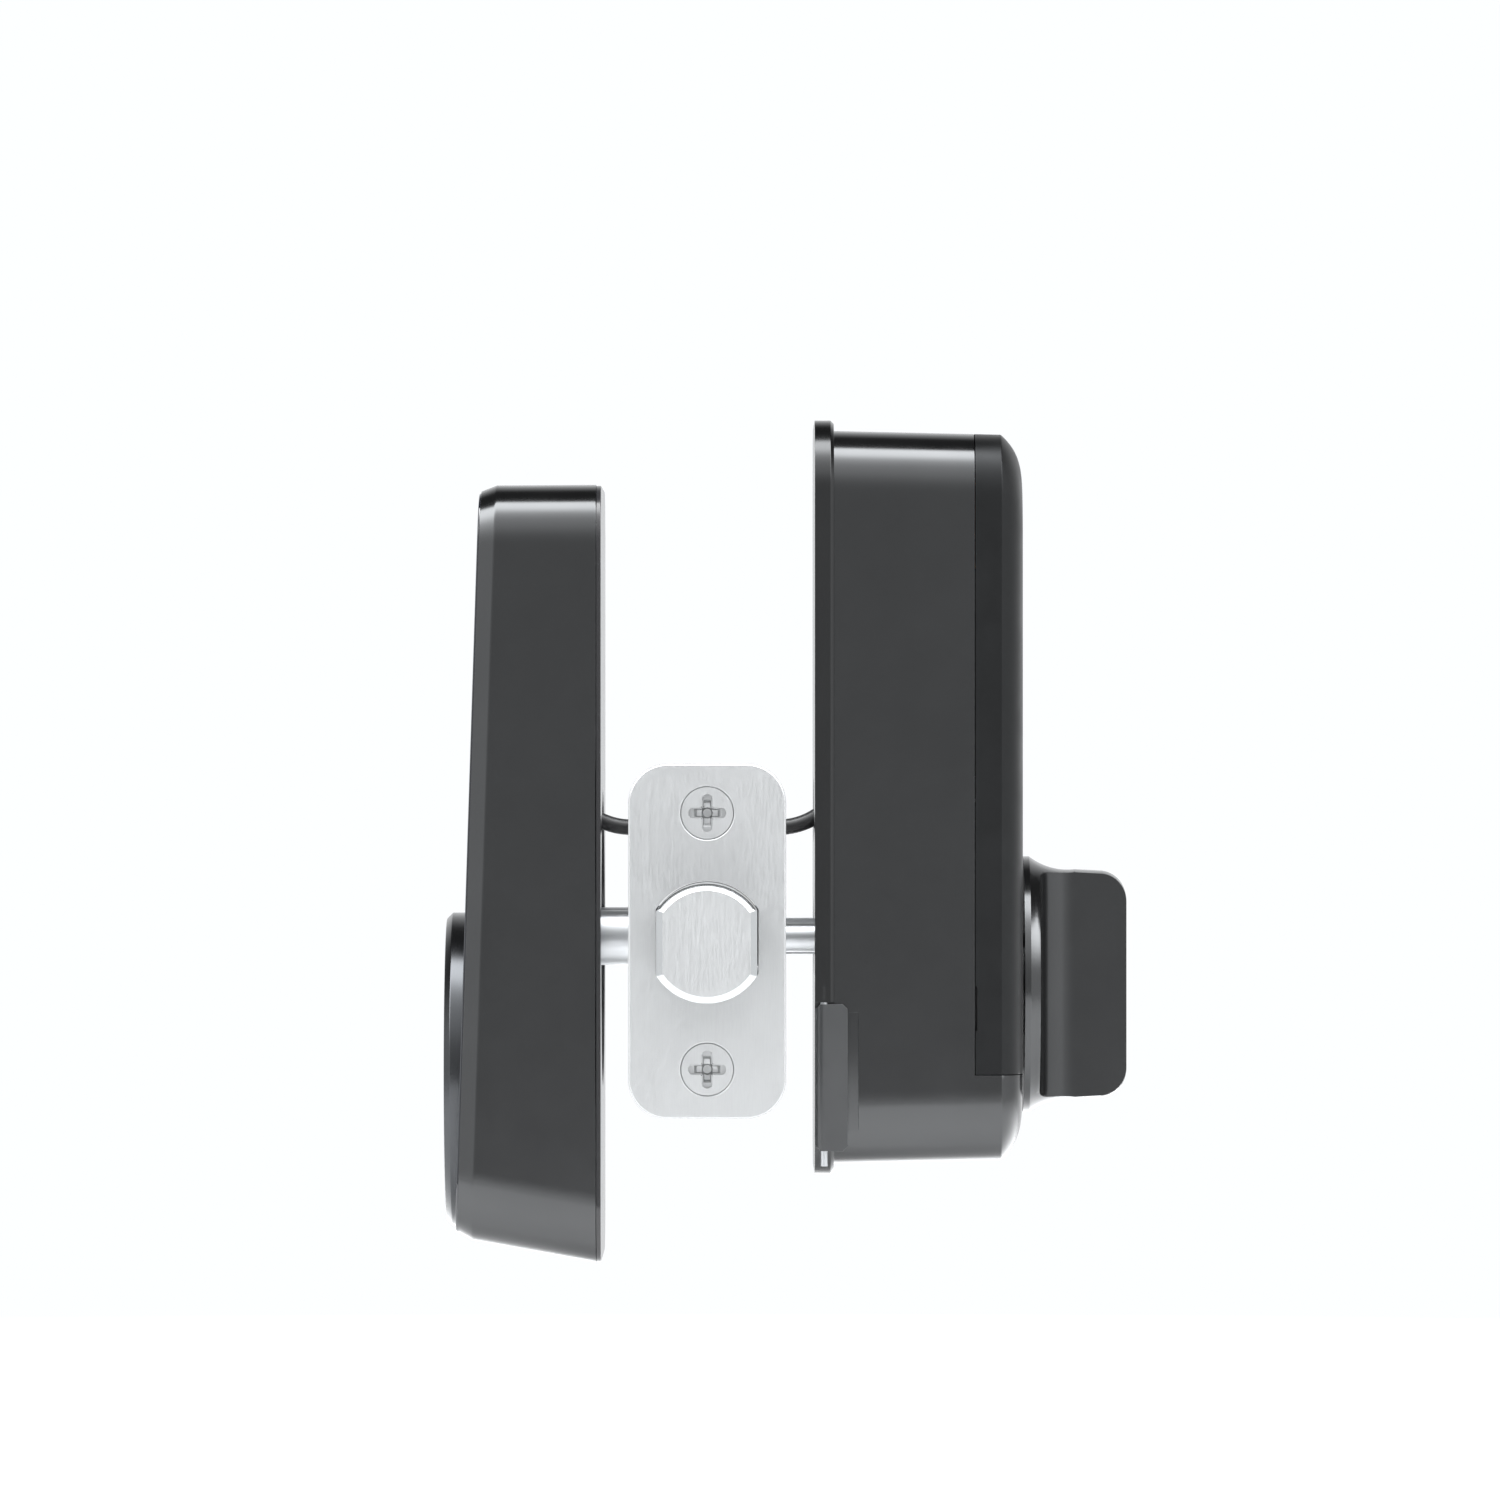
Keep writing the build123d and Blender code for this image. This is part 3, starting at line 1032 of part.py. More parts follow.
def thumbturn():
    """Knob turned from a flared blank, with both sides cut away to leave the fin; neck and shaft behind."""
    rim_x = THUMB_BASE_X + THUMB_RIM
    flare_x, high, root = rim_x + FLARE_LENGTH, FIN_HEIGHT / 2, THUMB_BASE_RADIUS
    belly = (rim_x + FLARE_LENGTH * 0.32, high + (root - high) * 0.34)
    profile = Line((THUMB_BASE_X, 0), (THUMB_BASE_X, root))
    profile += Line((THUMB_BASE_X, root), (rim_x, root))
    profile += ThreePointArc((rim_x, root), belly, (flare_x, high))
    profile += Polyline((flare_x, high), (FIN_OUT_X - FIN_CORNER, high - FIN_TAPER))
    arc_end = (FIN_OUT_X, high - FIN_TAPER - FIN_CORNER)
    profile += TangentArc((FIN_OUT_X - FIN_CORNER, high - FIN_TAPER), arc_end, tangent=(1, 0))
    profile += Polyline(arc_end, (FIN_OUT_X, 0), (THUMB_BASE_X, 0))
    body = Pos(0, 0, THUMB_Z) * revolve(make_face(profile.edges()), axis=Axis.X)
    for side in (-1, 1):
        cut = Pos((FIN_FLOOR_X + 90) / 2, side * (FIN_THICK / 2 + 20)) * Rectangle(90 - FIN_FLOOR_X, 40)
        inner = cut.vertices().group_by(Axis.X)[0].sort_by(lambda v: abs(v.Y))[0]
        cut = fillet(inner, FIN_ROOT_RADIUS)
        body -= extrude(Plane.XY.offset(-50) * cut, amount=100)
    body += rod(0, THUMB_Z, THUMB_NECK_RADIUS, TOWER_END + 0.3, THUMB_BASE_X + 0.1)
    body += rod(0, THUMB_Z, SHAFT_RADIUS, FRONT_PLANE[1] + 0.2, TOWER_END + 0.4)
    body += slab(Pos(0, THUMB_Z) * shaft_section(4.0, 0.0), MID_PLANE[1] + 0.8, FRONT_PLANE[1] + 0.3)
    return body - tube(0, THUMB_Z, SHAFT_RADIUS + 1, SHAFT_RADIUS - 0.9, *CLIP_X)


def thumbturn_clip():
    ring = Circle(SHAFT_RADIUS + 1.8) - Circle(SHAFT_RADIUS - 0.85) - Pos(0, -6) * Rectangle(5.5, 12)
    return slab(Pos(0, THUMB_Z) * ring, CLIP_X[0] + 0.05, CLIP_X[1] - 0.05)


def setup_button():
    y, z = BUTTON_YZ
    front = DECK_X + DECK_THICK
    cap = rod(y, z, BUTTON_RADIUS, DECK_X - 1.6, front + 1.4)
    cap = chamfer(cap.faces().sort_by(Axis.X)[-1].edges(), 0.3)
    return cap + rod(y, z, BUTTON_RADIUS + 0.9, DECK_X - 1.6, DECK_X - 0.9)


def setup_switch():
    y, z = BUTTON_YZ
    rear = DECK_X - 1.6 - BUTTON_TRAVEL
    body = box(rear - 4.2, rear - 0.9, y - 3, y + 3, z - 3, z + 3)
    return body + rod(y, z, 1.6, rear - 1.0, rear - 0.1)


NODES = {
    "latch_faceplate": latch_faceplate, "latch_backing_plate": latch_backing_plate,
    "faceplate_screws": faceplate_screws, "latch_case": latch_case, "deadbolt": deadbolt,
    "bolt_tail": bolt_tail, "tail_pin": tail_pin, "latch_hub": latch_hub, "spindle": spindle,
    "through_bolts": through_bolts, "mounting_posts": mounting_posts, "harness": harness,
    "exterior_gasket": exterior_gasket, "exterior_back_plate": exterior_back_plate,
    "exterior_plate_screws": exterior_plate_screws, "exterior_housing": exterior_housing,
    "keypad_panel": keypad_panel, "keypad_legends": keypad_legends,
    "touch_sensor_board": touch_sensor_board, "sensor_bezel": sensor_bezel,
    "sensor_light_ring": sensor_light_ring, "fingerprint_sensor": fingerprint_sensor,
    "exterior_circuit_board": exterior_circuit_board, "exterior_board_posts": exterior_board_posts,
    "exterior_board_screws": exterior_board_screws, "exterior_connector": exterior_connector,
    "power_port": power_port, "interior_mounting_plate": interior_mounting_plate,
    "release_latch_near": lambda: release_latch(-1), "release_latch_far": lambda: release_latch(1),
    "release_latch_pins": release_latch_pins, "interior_housing": interior_housing,
    "battery_cover": battery_cover, "battery_tray": battery_tray, "batteries": batteries,
    "battery_contacts": battery_contacts, "interior_circuit_board": interior_circuit_board,
    "interior_connector": interior_connector, "interior_board_posts": interior_board_posts,
    "interior_board_screws": interior_board_screws, "gearbox_cover": gearbox_cover,
    "gearbox_rear_plate": gearbox_rear_plate, "gearbox_screws": gearbox_screws,
    "gear_axles": gear_axles, "idler_gear": idler_gear, "spindle_gear": spindle_gear,
    "step_gear": step_gear, "thumbturn_gear": thumbturn_gear, "motor": motor,
    "motor_pinion": motor_pinion, "thumbturn": thumbturn, "thumbturn_clip": thumbturn_clip,
    "setup_button": setup_button, "setup_switch": setup_switch,
}

for node, make in NODES.items():
    export_step(make(), f"parts/{node}.step")
print(f"{len(NODES)} nodes written")
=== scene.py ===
"""Looks of the keypad deadbolt: finishes, finely rounded pieces, camera and studio, round the frame."""

import json
import math

import bmesh
import bpy
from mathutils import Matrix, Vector


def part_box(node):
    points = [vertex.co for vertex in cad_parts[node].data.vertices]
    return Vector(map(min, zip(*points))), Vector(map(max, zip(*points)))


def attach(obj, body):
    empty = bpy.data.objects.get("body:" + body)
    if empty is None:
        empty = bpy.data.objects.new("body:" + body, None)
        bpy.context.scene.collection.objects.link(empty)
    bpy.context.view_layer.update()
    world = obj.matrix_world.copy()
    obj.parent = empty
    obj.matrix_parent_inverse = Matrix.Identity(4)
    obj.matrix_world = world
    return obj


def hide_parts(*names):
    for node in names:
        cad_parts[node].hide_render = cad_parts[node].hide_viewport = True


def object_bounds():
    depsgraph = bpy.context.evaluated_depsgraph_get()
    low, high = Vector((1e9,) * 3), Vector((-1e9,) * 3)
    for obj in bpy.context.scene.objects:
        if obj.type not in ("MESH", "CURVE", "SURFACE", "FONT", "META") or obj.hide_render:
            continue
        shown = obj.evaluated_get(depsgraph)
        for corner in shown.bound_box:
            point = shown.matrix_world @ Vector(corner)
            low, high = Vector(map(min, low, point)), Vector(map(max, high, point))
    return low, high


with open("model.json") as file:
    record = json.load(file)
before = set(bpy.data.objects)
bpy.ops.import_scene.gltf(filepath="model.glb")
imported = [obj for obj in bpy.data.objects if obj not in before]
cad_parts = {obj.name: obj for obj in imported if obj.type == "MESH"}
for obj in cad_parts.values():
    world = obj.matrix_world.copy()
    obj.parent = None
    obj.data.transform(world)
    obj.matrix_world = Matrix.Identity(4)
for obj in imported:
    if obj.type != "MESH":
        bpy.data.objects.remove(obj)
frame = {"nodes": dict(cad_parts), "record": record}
cad_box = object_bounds()

MM = 0.001


# ---------------------------------------------------------------- node trees
class Finish:
    """A material under construction; lengths in its patterns are in millimetres."""

    def __init__(self, name, colour, roughness, metallic=0.0, **sockets):
        self.material = bpy.data.materials.new(name)
        self.material.use_nodes = True
        self.tree = self.material.node_tree
        self.shader = self.tree.nodes["Principled BSDF"]
        self.put("Base Color", (*colour, 1.0))
        self.put("Roughness", roughness)
        self.put("Metallic", metallic)
        for socket, value in sockets.items():
            self.put(socket.replace("_", " "), value)
        self.bumps = None

    def put(self, socket, value):
        """Sets or links one socket of the shader."""
        self.join(self.shader.inputs[socket], value)

    def join(self, socket, value):
        if isinstance(value, bpy.types.NodeSocket):
            self.tree.links.new(value, socket)
        else:
            socket.default_value = value

    def node(self, kind, settings=None, inputs=None, output=0):
        made = self.tree.nodes.new(kind)
        for key, value in (settings or {}).items():
            setattr(made, key, value)
        for key, value in (inputs or {}).items():
            self.join(made.inputs[key], value)
        return made.outputs[output]

    def place(self, stretch=(1.0, 1.0, 1.0)):
        """Position in the object, in millimetres, stretched per axis."""
        position = self.node("ShaderNodeTexCoord", output="Object")
        scale = tuple(share / MM for share in stretch)
        return self.node("ShaderNodeVectorMath", {"operation": "MULTIPLY"}, {0: position, 1: scale})

    def noise(self, size, detail=2.0, stretch=(1.0, 1.0, 1.0)):
        """Noise between 0 and 1 whose blotches are about `size` millimetres across."""
        return self.node("ShaderNodeTexNoise", inputs={
            "Vector": self.place(stretch), "Scale": 1.0 / size, "Detail": detail})

    def between(self, value, low, high, start=0.0, end=1.0):
        """Maps value from start..end to low..high."""
        return self.node("ShaderNodeMapRange", inputs={
            "Value": value, "From Min": start, "From Max": end, "To Min": low, "To Max": high})

    def mix(self, share, first, second):
        """Blends two colours."""
        made = self.tree.nodes.new("ShaderNodeMix")
        made.data_type = "RGBA"
        self.join(made.inputs["Factor"], share)
        for socket, colour in ((6, first), (7, second)):
            self.join(made.inputs[socket], (*colour, 1.0) if isinstance(colour, tuple) else colour)
        return made.outputs[2]

    def math(self, operation, first, second=0.0):
        return self.node("ShaderNodeMath", {"operation": operation}, {0: first, 1: second})

    def edge(self, radius):
        """1 along edges, out to about `radius` millimetres from them, and 0 on open surface."""
        rounded = self.node("ShaderNodeBevel", {"samples": 4}, {"Radius": radius * MM})
        plain = self.node("ShaderNodeNewGeometry", output="Normal")
        along = self.node("ShaderNodeVectorMath", {"operation": "DOT_PRODUCT"},
                          {0: rounded, 1: plain}, "Value")
        return self.between(along, 1.0, 0.0, 0.86, 0.99)

    def bump(self, height, depth):
        """Adds a relief `depth` millimetres high to what is already there."""
        inputs = {"Height": height, "Distance": depth * MM, "Strength": 1.0}
        if self.bumps is not None:
            inputs["Normal"] = self.bumps
        self.bumps = self.node("ShaderNodeBump", inputs=inputs)
        self.put("Normal", self.bumps)


EDGE_REACH = 0.25               # how far from an edge its wear shows


def worn(finish, colour, edge_colour, share=0.5):
    """Colour with slight blotches and lighter edges."""
    blotch = finish.between(finish.noise(14.0, 3.0), 0.0, 0.35, 0.35, 0.7)
    base = finish.mix(blotch, colour, tuple(c * 0.86 for c in colour))
    patches = finish.between(finish.noise(0.9, 4.0), 0.0, share, 0.4, 0.65)
    chafed = finish.math("MULTIPLY", finish.edge(EDGE_REACH), patches)
    finish.put("Base Color", finish.mix(chafed, base, edge_colour))


# ---------------------------------------------------------------- finishes
def coated_metal(name, colour, roughness, grain=0.0012):
    """Satin gunmetal coat: dark, with a fine blasted grain."""
    finish = Finish(name, colour, roughness, 1.0)
    cloud = finish.noise(6.0, 4.0)
    finish.put("Roughness", finish.between(cloud, roughness * 0.92, roughness * 1.12, 0.3, 0.7))
    worn(finish, colour, tuple(min(1.0, c * 2.2) for c in colour))
    finish.bump(finish.noise(0.16, 2.0), grain)
    return finish.material


def brushed_metal(name, colour, roughness, stretch, depth=0.002):
    """Plated metal with a drawn grain; `stretch` is small along the grain."""
    finish = Finish(name, colour, roughness, 1.0)
    grain = finish.noise(0.12, 3.0, stretch)
    finish.put("Roughness", finish.between(grain, roughness * 0.85, roughness * 1.2, 0.3, 0.7))
    worn(finish, colour, tuple(min(1.0, c * 1.15) for c in colour))
    finish.bump(grain, depth)
    return finish.material


def cast_metal(name, colour, roughness):
    """Die-cast or cut steel with a dull skin and small pits."""
    finish = Finish(name, colour, roughness, 1.0)
    cloud = finish.noise(2.2, 4.0)
    finish.put("Roughness", finish.between(cloud, roughness * 0.8, roughness * 1.25, 0.3, 0.7))
    worn(finish, colour, tuple(min(1.0, c * 1.3) for c in colour))
    finish.bump(finish.noise(0.5, 4.0), 0.006)
    return finish.material


def moulded(name, colour, roughness, grain=0.006, size=0.35):
    """Moulded plastic with a fine spark-eroded texture."""
    finish = Finish(name, colour, roughness)
    cloud = finish.noise(4.0, 4.0)
    finish.put("Roughness", finish.between(cloud, roughness * 0.9, roughness * 1.15, 0.3, 0.7))
    worn(finish, colour, tuple(min(1.0, c * 1.5 + 0.01) for c in colour), share=0.35)
    finish.bump(finish.noise(size, 2.0), grain)
    return finish.material


def black_glass():
    """Glossy black cover glass with faint wipe marks."""
    colour = (0.0035, 0.0045, 0.0075)
    finish = Finish("black_glass", colour, 0.05, IOR=1.5, Coat_Weight=0.6, Coat_Roughness=0.02)
    smear = finish.noise(9.0, 5.0, (1.0, 1.0, 0.35))
    finish.put("Roughness", finish.between(smear, 0.03, 0.12, 0.45, 0.75))
    haze = finish.between(smear, 0.0, 0.3, 0.4, 0.8)
    finish.put("Base Color", finish.mix(haze, colour, (0.010, 0.012, 0.016)))
    finish.bump(finish.noise(25.0, 1.0), 0.004)
    return finish.material


def legend_white():
    finish = Finish("legend_white", (0.75, 0.77, 0.78), 0.35)
    finish.put("Base Color", finish.mix(finish.noise(0.5, 3.0), (0.80, 0.82, 0.84), (0.62, 0.64, 0.66)))
    finish.bump(finish.noise(0.12, 2.0), 0.002)
    return finish.material


def light_ring():
    """Milky diffuser over the ring of indicator lights."""
    finish = Finish("light_ring", (0.62, 0.66, 0.70), 0.3, Subsurface_Weight=0.4,
                    Subsurface_Radius=(0.002, 0.002, 0.002))
    finish.put("Base Color", finish.mix(finish.noise(1.4, 3.0), (0.66, 0.70, 0.74), (0.50, 0.54, 0.58)))
    finish.bump(finish.noise(0.25, 2.0), 0.002)
    return finish.material


def sensor_black():
    """Hard-coated sensor pad with fine concentric turning marks."""
    finish = Finish("sensor_black", (0.008, 0.009, 0.011), 0.22, Coat_Weight=0.4, Coat_Roughness=0.08)
    position = finish.place()
    low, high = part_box("fingerprint_sensor")
    centre = (0.0, 0.0, (low.z + high.z) / 2 / MM)
    offset = finish.node("ShaderNodeVectorMath", {"operation": "SUBTRACT"}, {0: position, 1: centre})
    flat = finish.node("ShaderNodeVectorMath", {"operation": "MULTIPLY"}, {0: offset, 1: (0.0, 1.0, 1.0)})
    radius = finish.node("ShaderNodeVectorMath", {"operation": "LENGTH"}, {0: flat}, "Value")
    ripple = finish.math("SINE", finish.math("MULTIPLY", radius, 2 * math.pi / 0.22))
    finish.put("Roughness", finish.between(ripple, 0.18, 0.30, -1.0, 1.0))
    finish.put("Base Color", finish.mix(finish.noise(3.0, 3.0), (0.006, 0.007, 0.009), (0.014, 0.015, 0.018)))
    finish.bump(ripple, 0.0015)
    return finish.material


def circuit_board():
    """Green solder mask over copper tracks, with pale pads."""
    finish = Finish("board_green", (0.01, 0.10, 0.035), 0.35, Coat_Weight=0.5, Coat_Roughness=0.15)
    flattened = (0.02, 1.0, 1.0)
    cells = finish.node("ShaderNodeTexVoronoi", {"distance": "MANHATTAN", "feature": "F1"},
                        {"Vector": finish.place(flattened), "Scale": 0.32, "Randomness": 0.85}, "Distance")
    lines = finish.math("PINGPONG", finish.math("MULTIPLY", cells, 2.2), 0.35)
    track = finish.between(lines, 0.0, 1.0, 0.22, 0.26)
    mask = finish.mix(track, (0.010, 0.085, 0.030), (0.016, 0.150, 0.050))
    pads = finish.node("ShaderNodeTexVoronoi", {"distance": "EUCLIDEAN", "feature": "F1"},
                       {"Vector": finish.place(flattened), "Scale": 0.42, "Randomness": 0.6}, "Distance")
    pad = finish.between(pads, 1.0, 0.0, 0.14, 0.17)
    finish.put("Base Color", finish.mix(pad, mask, (0.62, 0.60, 0.50)))
    finish.put("Metallic", finish.between(pad, 0.0, 0.9))
    finish.bump(finish.math("ADD", track, pad), 0.03)
    return finish.material


def cell_jacket():
    """Printed jacket of a cell: dark sleeve with a copper-coloured band towards its button end."""
    finish = Finish("cell", (0.02, 0.02, 0.022), 0.28, 0.6)
    low, high = (corner.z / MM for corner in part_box("batteries"))
    height = finish.node("ShaderNodeSeparateXYZ", inputs={0: finish.place()}, output="Z")
    band = finish.between(height, 0.0, 1.0, low + 0.68 * (high - low), low + 0.685 * (high - low))
    grain = finish.noise(0.4, 3.0, (1.0, 1.0, 0.1))
    colour = finish.mix(band, (0.018, 0.019, 0.022), (0.55, 0.27, 0.12))
    ends = finish.node("ShaderNodeNewGeometry", output="Normal")
    upright = finish.math("ABSOLUTE", finish.node("ShaderNodeSeparateXYZ", inputs={0: ends}, output="Z"))
    bare = finish.between(upright, 0.0, 1.0, 0.75, 0.9)
    finish.put("Base Color", finish.mix(bare, colour, (0.62, 0.61, 0.58)))
    finish.put("Roughness", finish.between(grain, 0.24, 0.36, 0.3, 0.7))
    finish.bump(grain, 0.003)
    return finish.material


GUNMETAL = (0.062, 0.063, 0.064)
FINISHES = {
    "dark_metal": lambda: coated_metal("dark_metal", GUNMETAL, 0.17, 0.0006),
    "bezel_metal": lambda: coated_metal("bezel_metal", (0.055, 0.057, 0.060), 0.20),
    "black_glass": black_glass,
    "legend_white": legend_white,
    "light_ring": light_ring,
    "sensor_black": sensor_black,
    "satin_nickel": lambda: brushed_metal("satin_nickel", (0.385, 0.390, 0.392), 0.47, (1.0, 1.0, 0.04)),
    "steel": lambda: brushed_metal("steel", (0.42, 0.43, 0.44), 0.33, (0.08, 1.0, 1.0)),
    "zinc": lambda: cast_metal("zinc", (0.50, 0.51, 0.52), 0.38),
    "rubber_black": lambda: moulded("rubber_black", (0.012, 0.012, 0.013), 0.16, 0.003, 0.5),
    "board_green": circuit_board,
    "cover_plastic": lambda: coated_metal("cover_plastic", (0.0205, 0.021, 0.0215), 0.40),
    "plate_metal": lambda: coated_metal("plate_metal", (0.045, 0.0455, 0.046), 0.18, 0.0006),
    "latch_plastic": lambda: moulded("latch_plastic", (0.030, 0.031, 0.032), 0.32),
    "tray_plastic": lambda: moulded("tray_plastic", (0.020, 0.021, 0.022), 0.45),
    "nylon": lambda: moulded("nylon", (0.78, 0.76, 0.70), 0.38, 0.004, 0.6),
    "connector_white": lambda: moulded("connector_white", (0.74, 0.73, 0.69), 0.36, 0.004, 0.6),
    "brass": lambda: cast_metal("brass", (0.74, 0.55, 0.26), 0.30),
    "cell": cell_jacket,
    "cord_black": lambda: moulded("cord_black", (0.016, 0.016, 0.017), 0.40, 0.01, 0.4),
    "button_grey": lambda: moulded("button_grey", (0.20, 0.21, 0.22), 0.40),
}


# ---------------------------------------------------------------- mesh tools
def skin(rings):
    """Closed body from rings with the same number of points, the two end rings capped."""
    mesh = bmesh.new()
    rows = [[mesh.verts.new(Vector(point) * MM) for point in ring] for ring in rings]
    for first, second in zip(rows, rows[1:]):
        for here in range(len(first)):
            there = (here + 1) % len(first)
            mesh.faces.new((first[here], first[there], second[there], second[here]))
    mesh.faces.new(rows[0])
    mesh.faces.new(rows[-1][::-1])
    bmesh.ops.recalc_face_normals(mesh, faces=mesh.faces)
    return mesh


def block(x0, x1, y0, y1, z0, z1):
    """Box between two corners, in millimetres."""
    return skin([[(x, y0, z0), (x, y1, z0), (x, y1, z1), (x, y0, z1)] for x in (x0, x1)])


def disc_between(x0, x1, z, radius):
    """Cylinder along X at the middle of the width, in millimetres."""
    steps = 96
    turns = [2 * math.pi * step / steps for step in range(steps)]
    ring = [(radius * math.cos(turn), z + radius * math.sin(turn)) for turn in turns]
    return skin([[(x, *point) for point in ring] for x in (x0, x1)])


def combined(mesh, operation, *others):
    """Boolean of a mesh with others."""
    scratch = []
    for source in (mesh, *others):
        data = bpy.data.meshes.new("scratch")
        source.to_mesh(data)
        scratch.append(bpy.data.objects.new("scratch", data))
        bpy.context.scene.collection.objects.link(scratch[-1])
    for other in scratch[1:]:
        step = scratch[0].modifiers.new("cut", "BOOLEAN")
        step.operation, step.solver, step.object = operation, "EXACT", other
    result = bmesh.new()
    bpy.context.view_layer.update()
    result.from_mesh(scratch[0].evaluated_get(bpy.context.evaluated_depsgraph_get()).data)
    for item in scratch:
        bpy.data.objects.remove(item)
    return result


SHARP = math.radians(28)        # edges that turn by more than this are rounded
FLAT = math.radians(0.3)        # faces that turn by less than this are merged
CREASED = math.radians(40)      # edges that turn by more than this keep a crease in the shading
WELD = 0.002 * MM


def round_edges(mesh, width):
    """Merges flat faces, and rounds every edge that turns by more than SHARP."""
    bmesh.ops.remove_doubles(mesh, verts=mesh.verts, dist=WELD)
    bmesh.ops.dissolve_limit(mesh, angle_limit=FLAT, verts=mesh.verts, edges=mesh.edges)
    edges = [e for e in mesh.edges if len(e.link_faces) == 2 and e.calc_face_angle(0) > SHARP]
    bmesh.ops.bevel(mesh, geom=edges, offset=width * MM, offset_type="OFFSET", segments=2,
                    profile=0.5, affect="EDGES", clamp_overlap=True)
    return mesh


RECORD = frame["record"]
BODY_OF = {node: body for body, nodes in RECORD["behaviour"]["bodies"].items() for node in nodes}
SLOT_OF = {row["node"]: row["material_slot"] for row in RECORD["subparts"]}


def stand_in(mesh, node, *materials):
    """Puts a mesh in the scene as the finished form of a node."""
    data = bpy.data.meshes.new(node + "_finished")
    mesh.to_mesh(data)
    mesh.free()
    data.polygons.foreach_set("use_smooth", [True] * len(data.polygons))
    data.set_sharp_from_angle(angle=CREASED)
    for material in materials or (finishes[SLOT_OF[node]],):
        data.materials.append(material)
    made = bpy.data.objects.new(node + "_finished", data)
    bpy.context.scene.collection.objects.link(made)
    normals = made.modifiers.new("normals", "WEIGHTED_NORMAL")
    normals.keep_sharp, normals.weight = True, 80
    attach(made, BODY_OF[node])
    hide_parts(node)


def from_node(node):
    """The node's own triangles, as a mesh to work on."""
    mesh = bmesh.new()
    mesh.from_mesh(frame["nodes"][node].data)
    return mesh


# ---------------------------------------------------------------- soft-cornered outlines
SOFT = 2.5                      # 2 gives a round corner; more lets the curvature fade in and out
CORNER_STEPS = 20


def quarter(extent, power):
    """Corner points from the Y axis to the Z axis, their normals evenly spaced."""
    points = [(extent, 0.0)]
    for step in range(1, CORNER_STEPS):
        slope = math.tan(math.pi / 2 * step / CORNER_STEPS) ** (1 / (power - 1))
        across = (1 + slope ** power) ** (-1 / power)
        points.append((extent * across, extent * slope * across))
    return points + [(0.0, extent)]


def outline(half, low, high, extent, power):
    """Rounded rectangle in Y and Z."""
    corner = quarter(extent, power)
    flipped = corner[::-1]
    top, bottom, side = high - extent, low + extent, half - extent
    return ([(side + y, top + z) for y, z in corner] + [(-side - y, top + z) for y, z in flipped]
            + [(-side - y, bottom - z) for y, z in corner] + [(side + y, bottom - z) for y, z in flipped])


# ---------------------------------------------------------------- keypad unit's housing
def exterior_housing():
    """Shell with a leaning, bevelled front, a pocket for the glass and an open back."""
    low, high = (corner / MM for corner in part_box("exterior_housing"))
    back, top, bottom, half = high.x, high.z, low.z, high.y
    top_slope, underside_slope = 0.0061, 0.18
    face_x, lean = -39.45, 0.03205
    corner, bevel_depth, bevel_inset = 11.9, 2.5, 0.95
    wall, rim, ledge, pocket, floor_depth = 2.2, 1.25, 4.3, 1.0, 2.5
    pocket_corner = 9.8
    port_play, port_reach = 0.2, (5, 6)

    def section(x, inset, power):
        depth = back - x
        extent = (corner if power == SOFT else pocket_corner) - inset
        return outline(half - inset, bottom + underside_slope * depth + inset,
                       top - top_slope * depth - inset, extent, power)

    def upright(x, inset):
        return [(x, y, z) for y, z in section(x, inset, SOFT)]

    def leaning(depth, inset, power=SOFT):
        """Ring in a plane parallel to the front; each point's x and section settle together."""
        ring = []
        for number in range(4 * (CORNER_STEPS + 1)):
            x = face_x
            for _ in range(4):
                y, z = section(x, inset, power)[number]
                x = face_x + lean * z + depth
            ring.append((x, y, z))
        return ring

    slope = bevel_inset / bevel_depth
    edge = 0.14                 # width of the rounding along the outer edges
    rings = [upright(back, wall), upright(back, edge), upright(back - 0.3 * edge, 0.3 * edge),
             upright(back - edge, 0.0)]
    rings += [leaning(bevel_depth + 2 * edge, 0.0), leaning(bevel_depth + 0.1 * edge, 0.0),
              leaning(bevel_depth - 1.5 * edge, 1.5 * edge * slope)]
    rings += [leaning(2 * edge, bevel_inset - 2 * edge * slope),
              leaning(0.3 * edge, bevel_inset - 0.1 * edge), leaning(0.0, bevel_inset + 0.6 * edge)]
    rings += [leaning(0.0, rim, 2), leaning(pocket, rim, 2), leaning(pocket, ledge, 2),
              leaning(floor_depth, ledge, 2), leaning(floor_depth, wall)]
    shell = skin(rings)
    caps = [face for face in shell.faces if len(face.verts) > 4]
    bmesh.ops.delete(shell, geom=caps, context="FACES_ONLY")
    join_ends(shell)
    port_low, port_high = (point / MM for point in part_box("power_port"))
    slot = block(port_low.x - port_play, port_high.x + port_play, port_low.y - port_play,
                 port_high.y + port_play, bottom - port_reach[0], bottom + port_reach[1])
    stand_in(combined(shell, "DIFFERENCE", slot), "exterior_housing")


def join_ends(mesh):
    """Closes a tube of rings into a loop by bridging its two open ends."""
    open_edges = [e for e in mesh.edges if e.is_boundary]
    bmesh.ops.bridge_loops(mesh, edges=open_edges)
    bmesh.ops.recalc_face_normals(mesh, faces=mesh.faces)


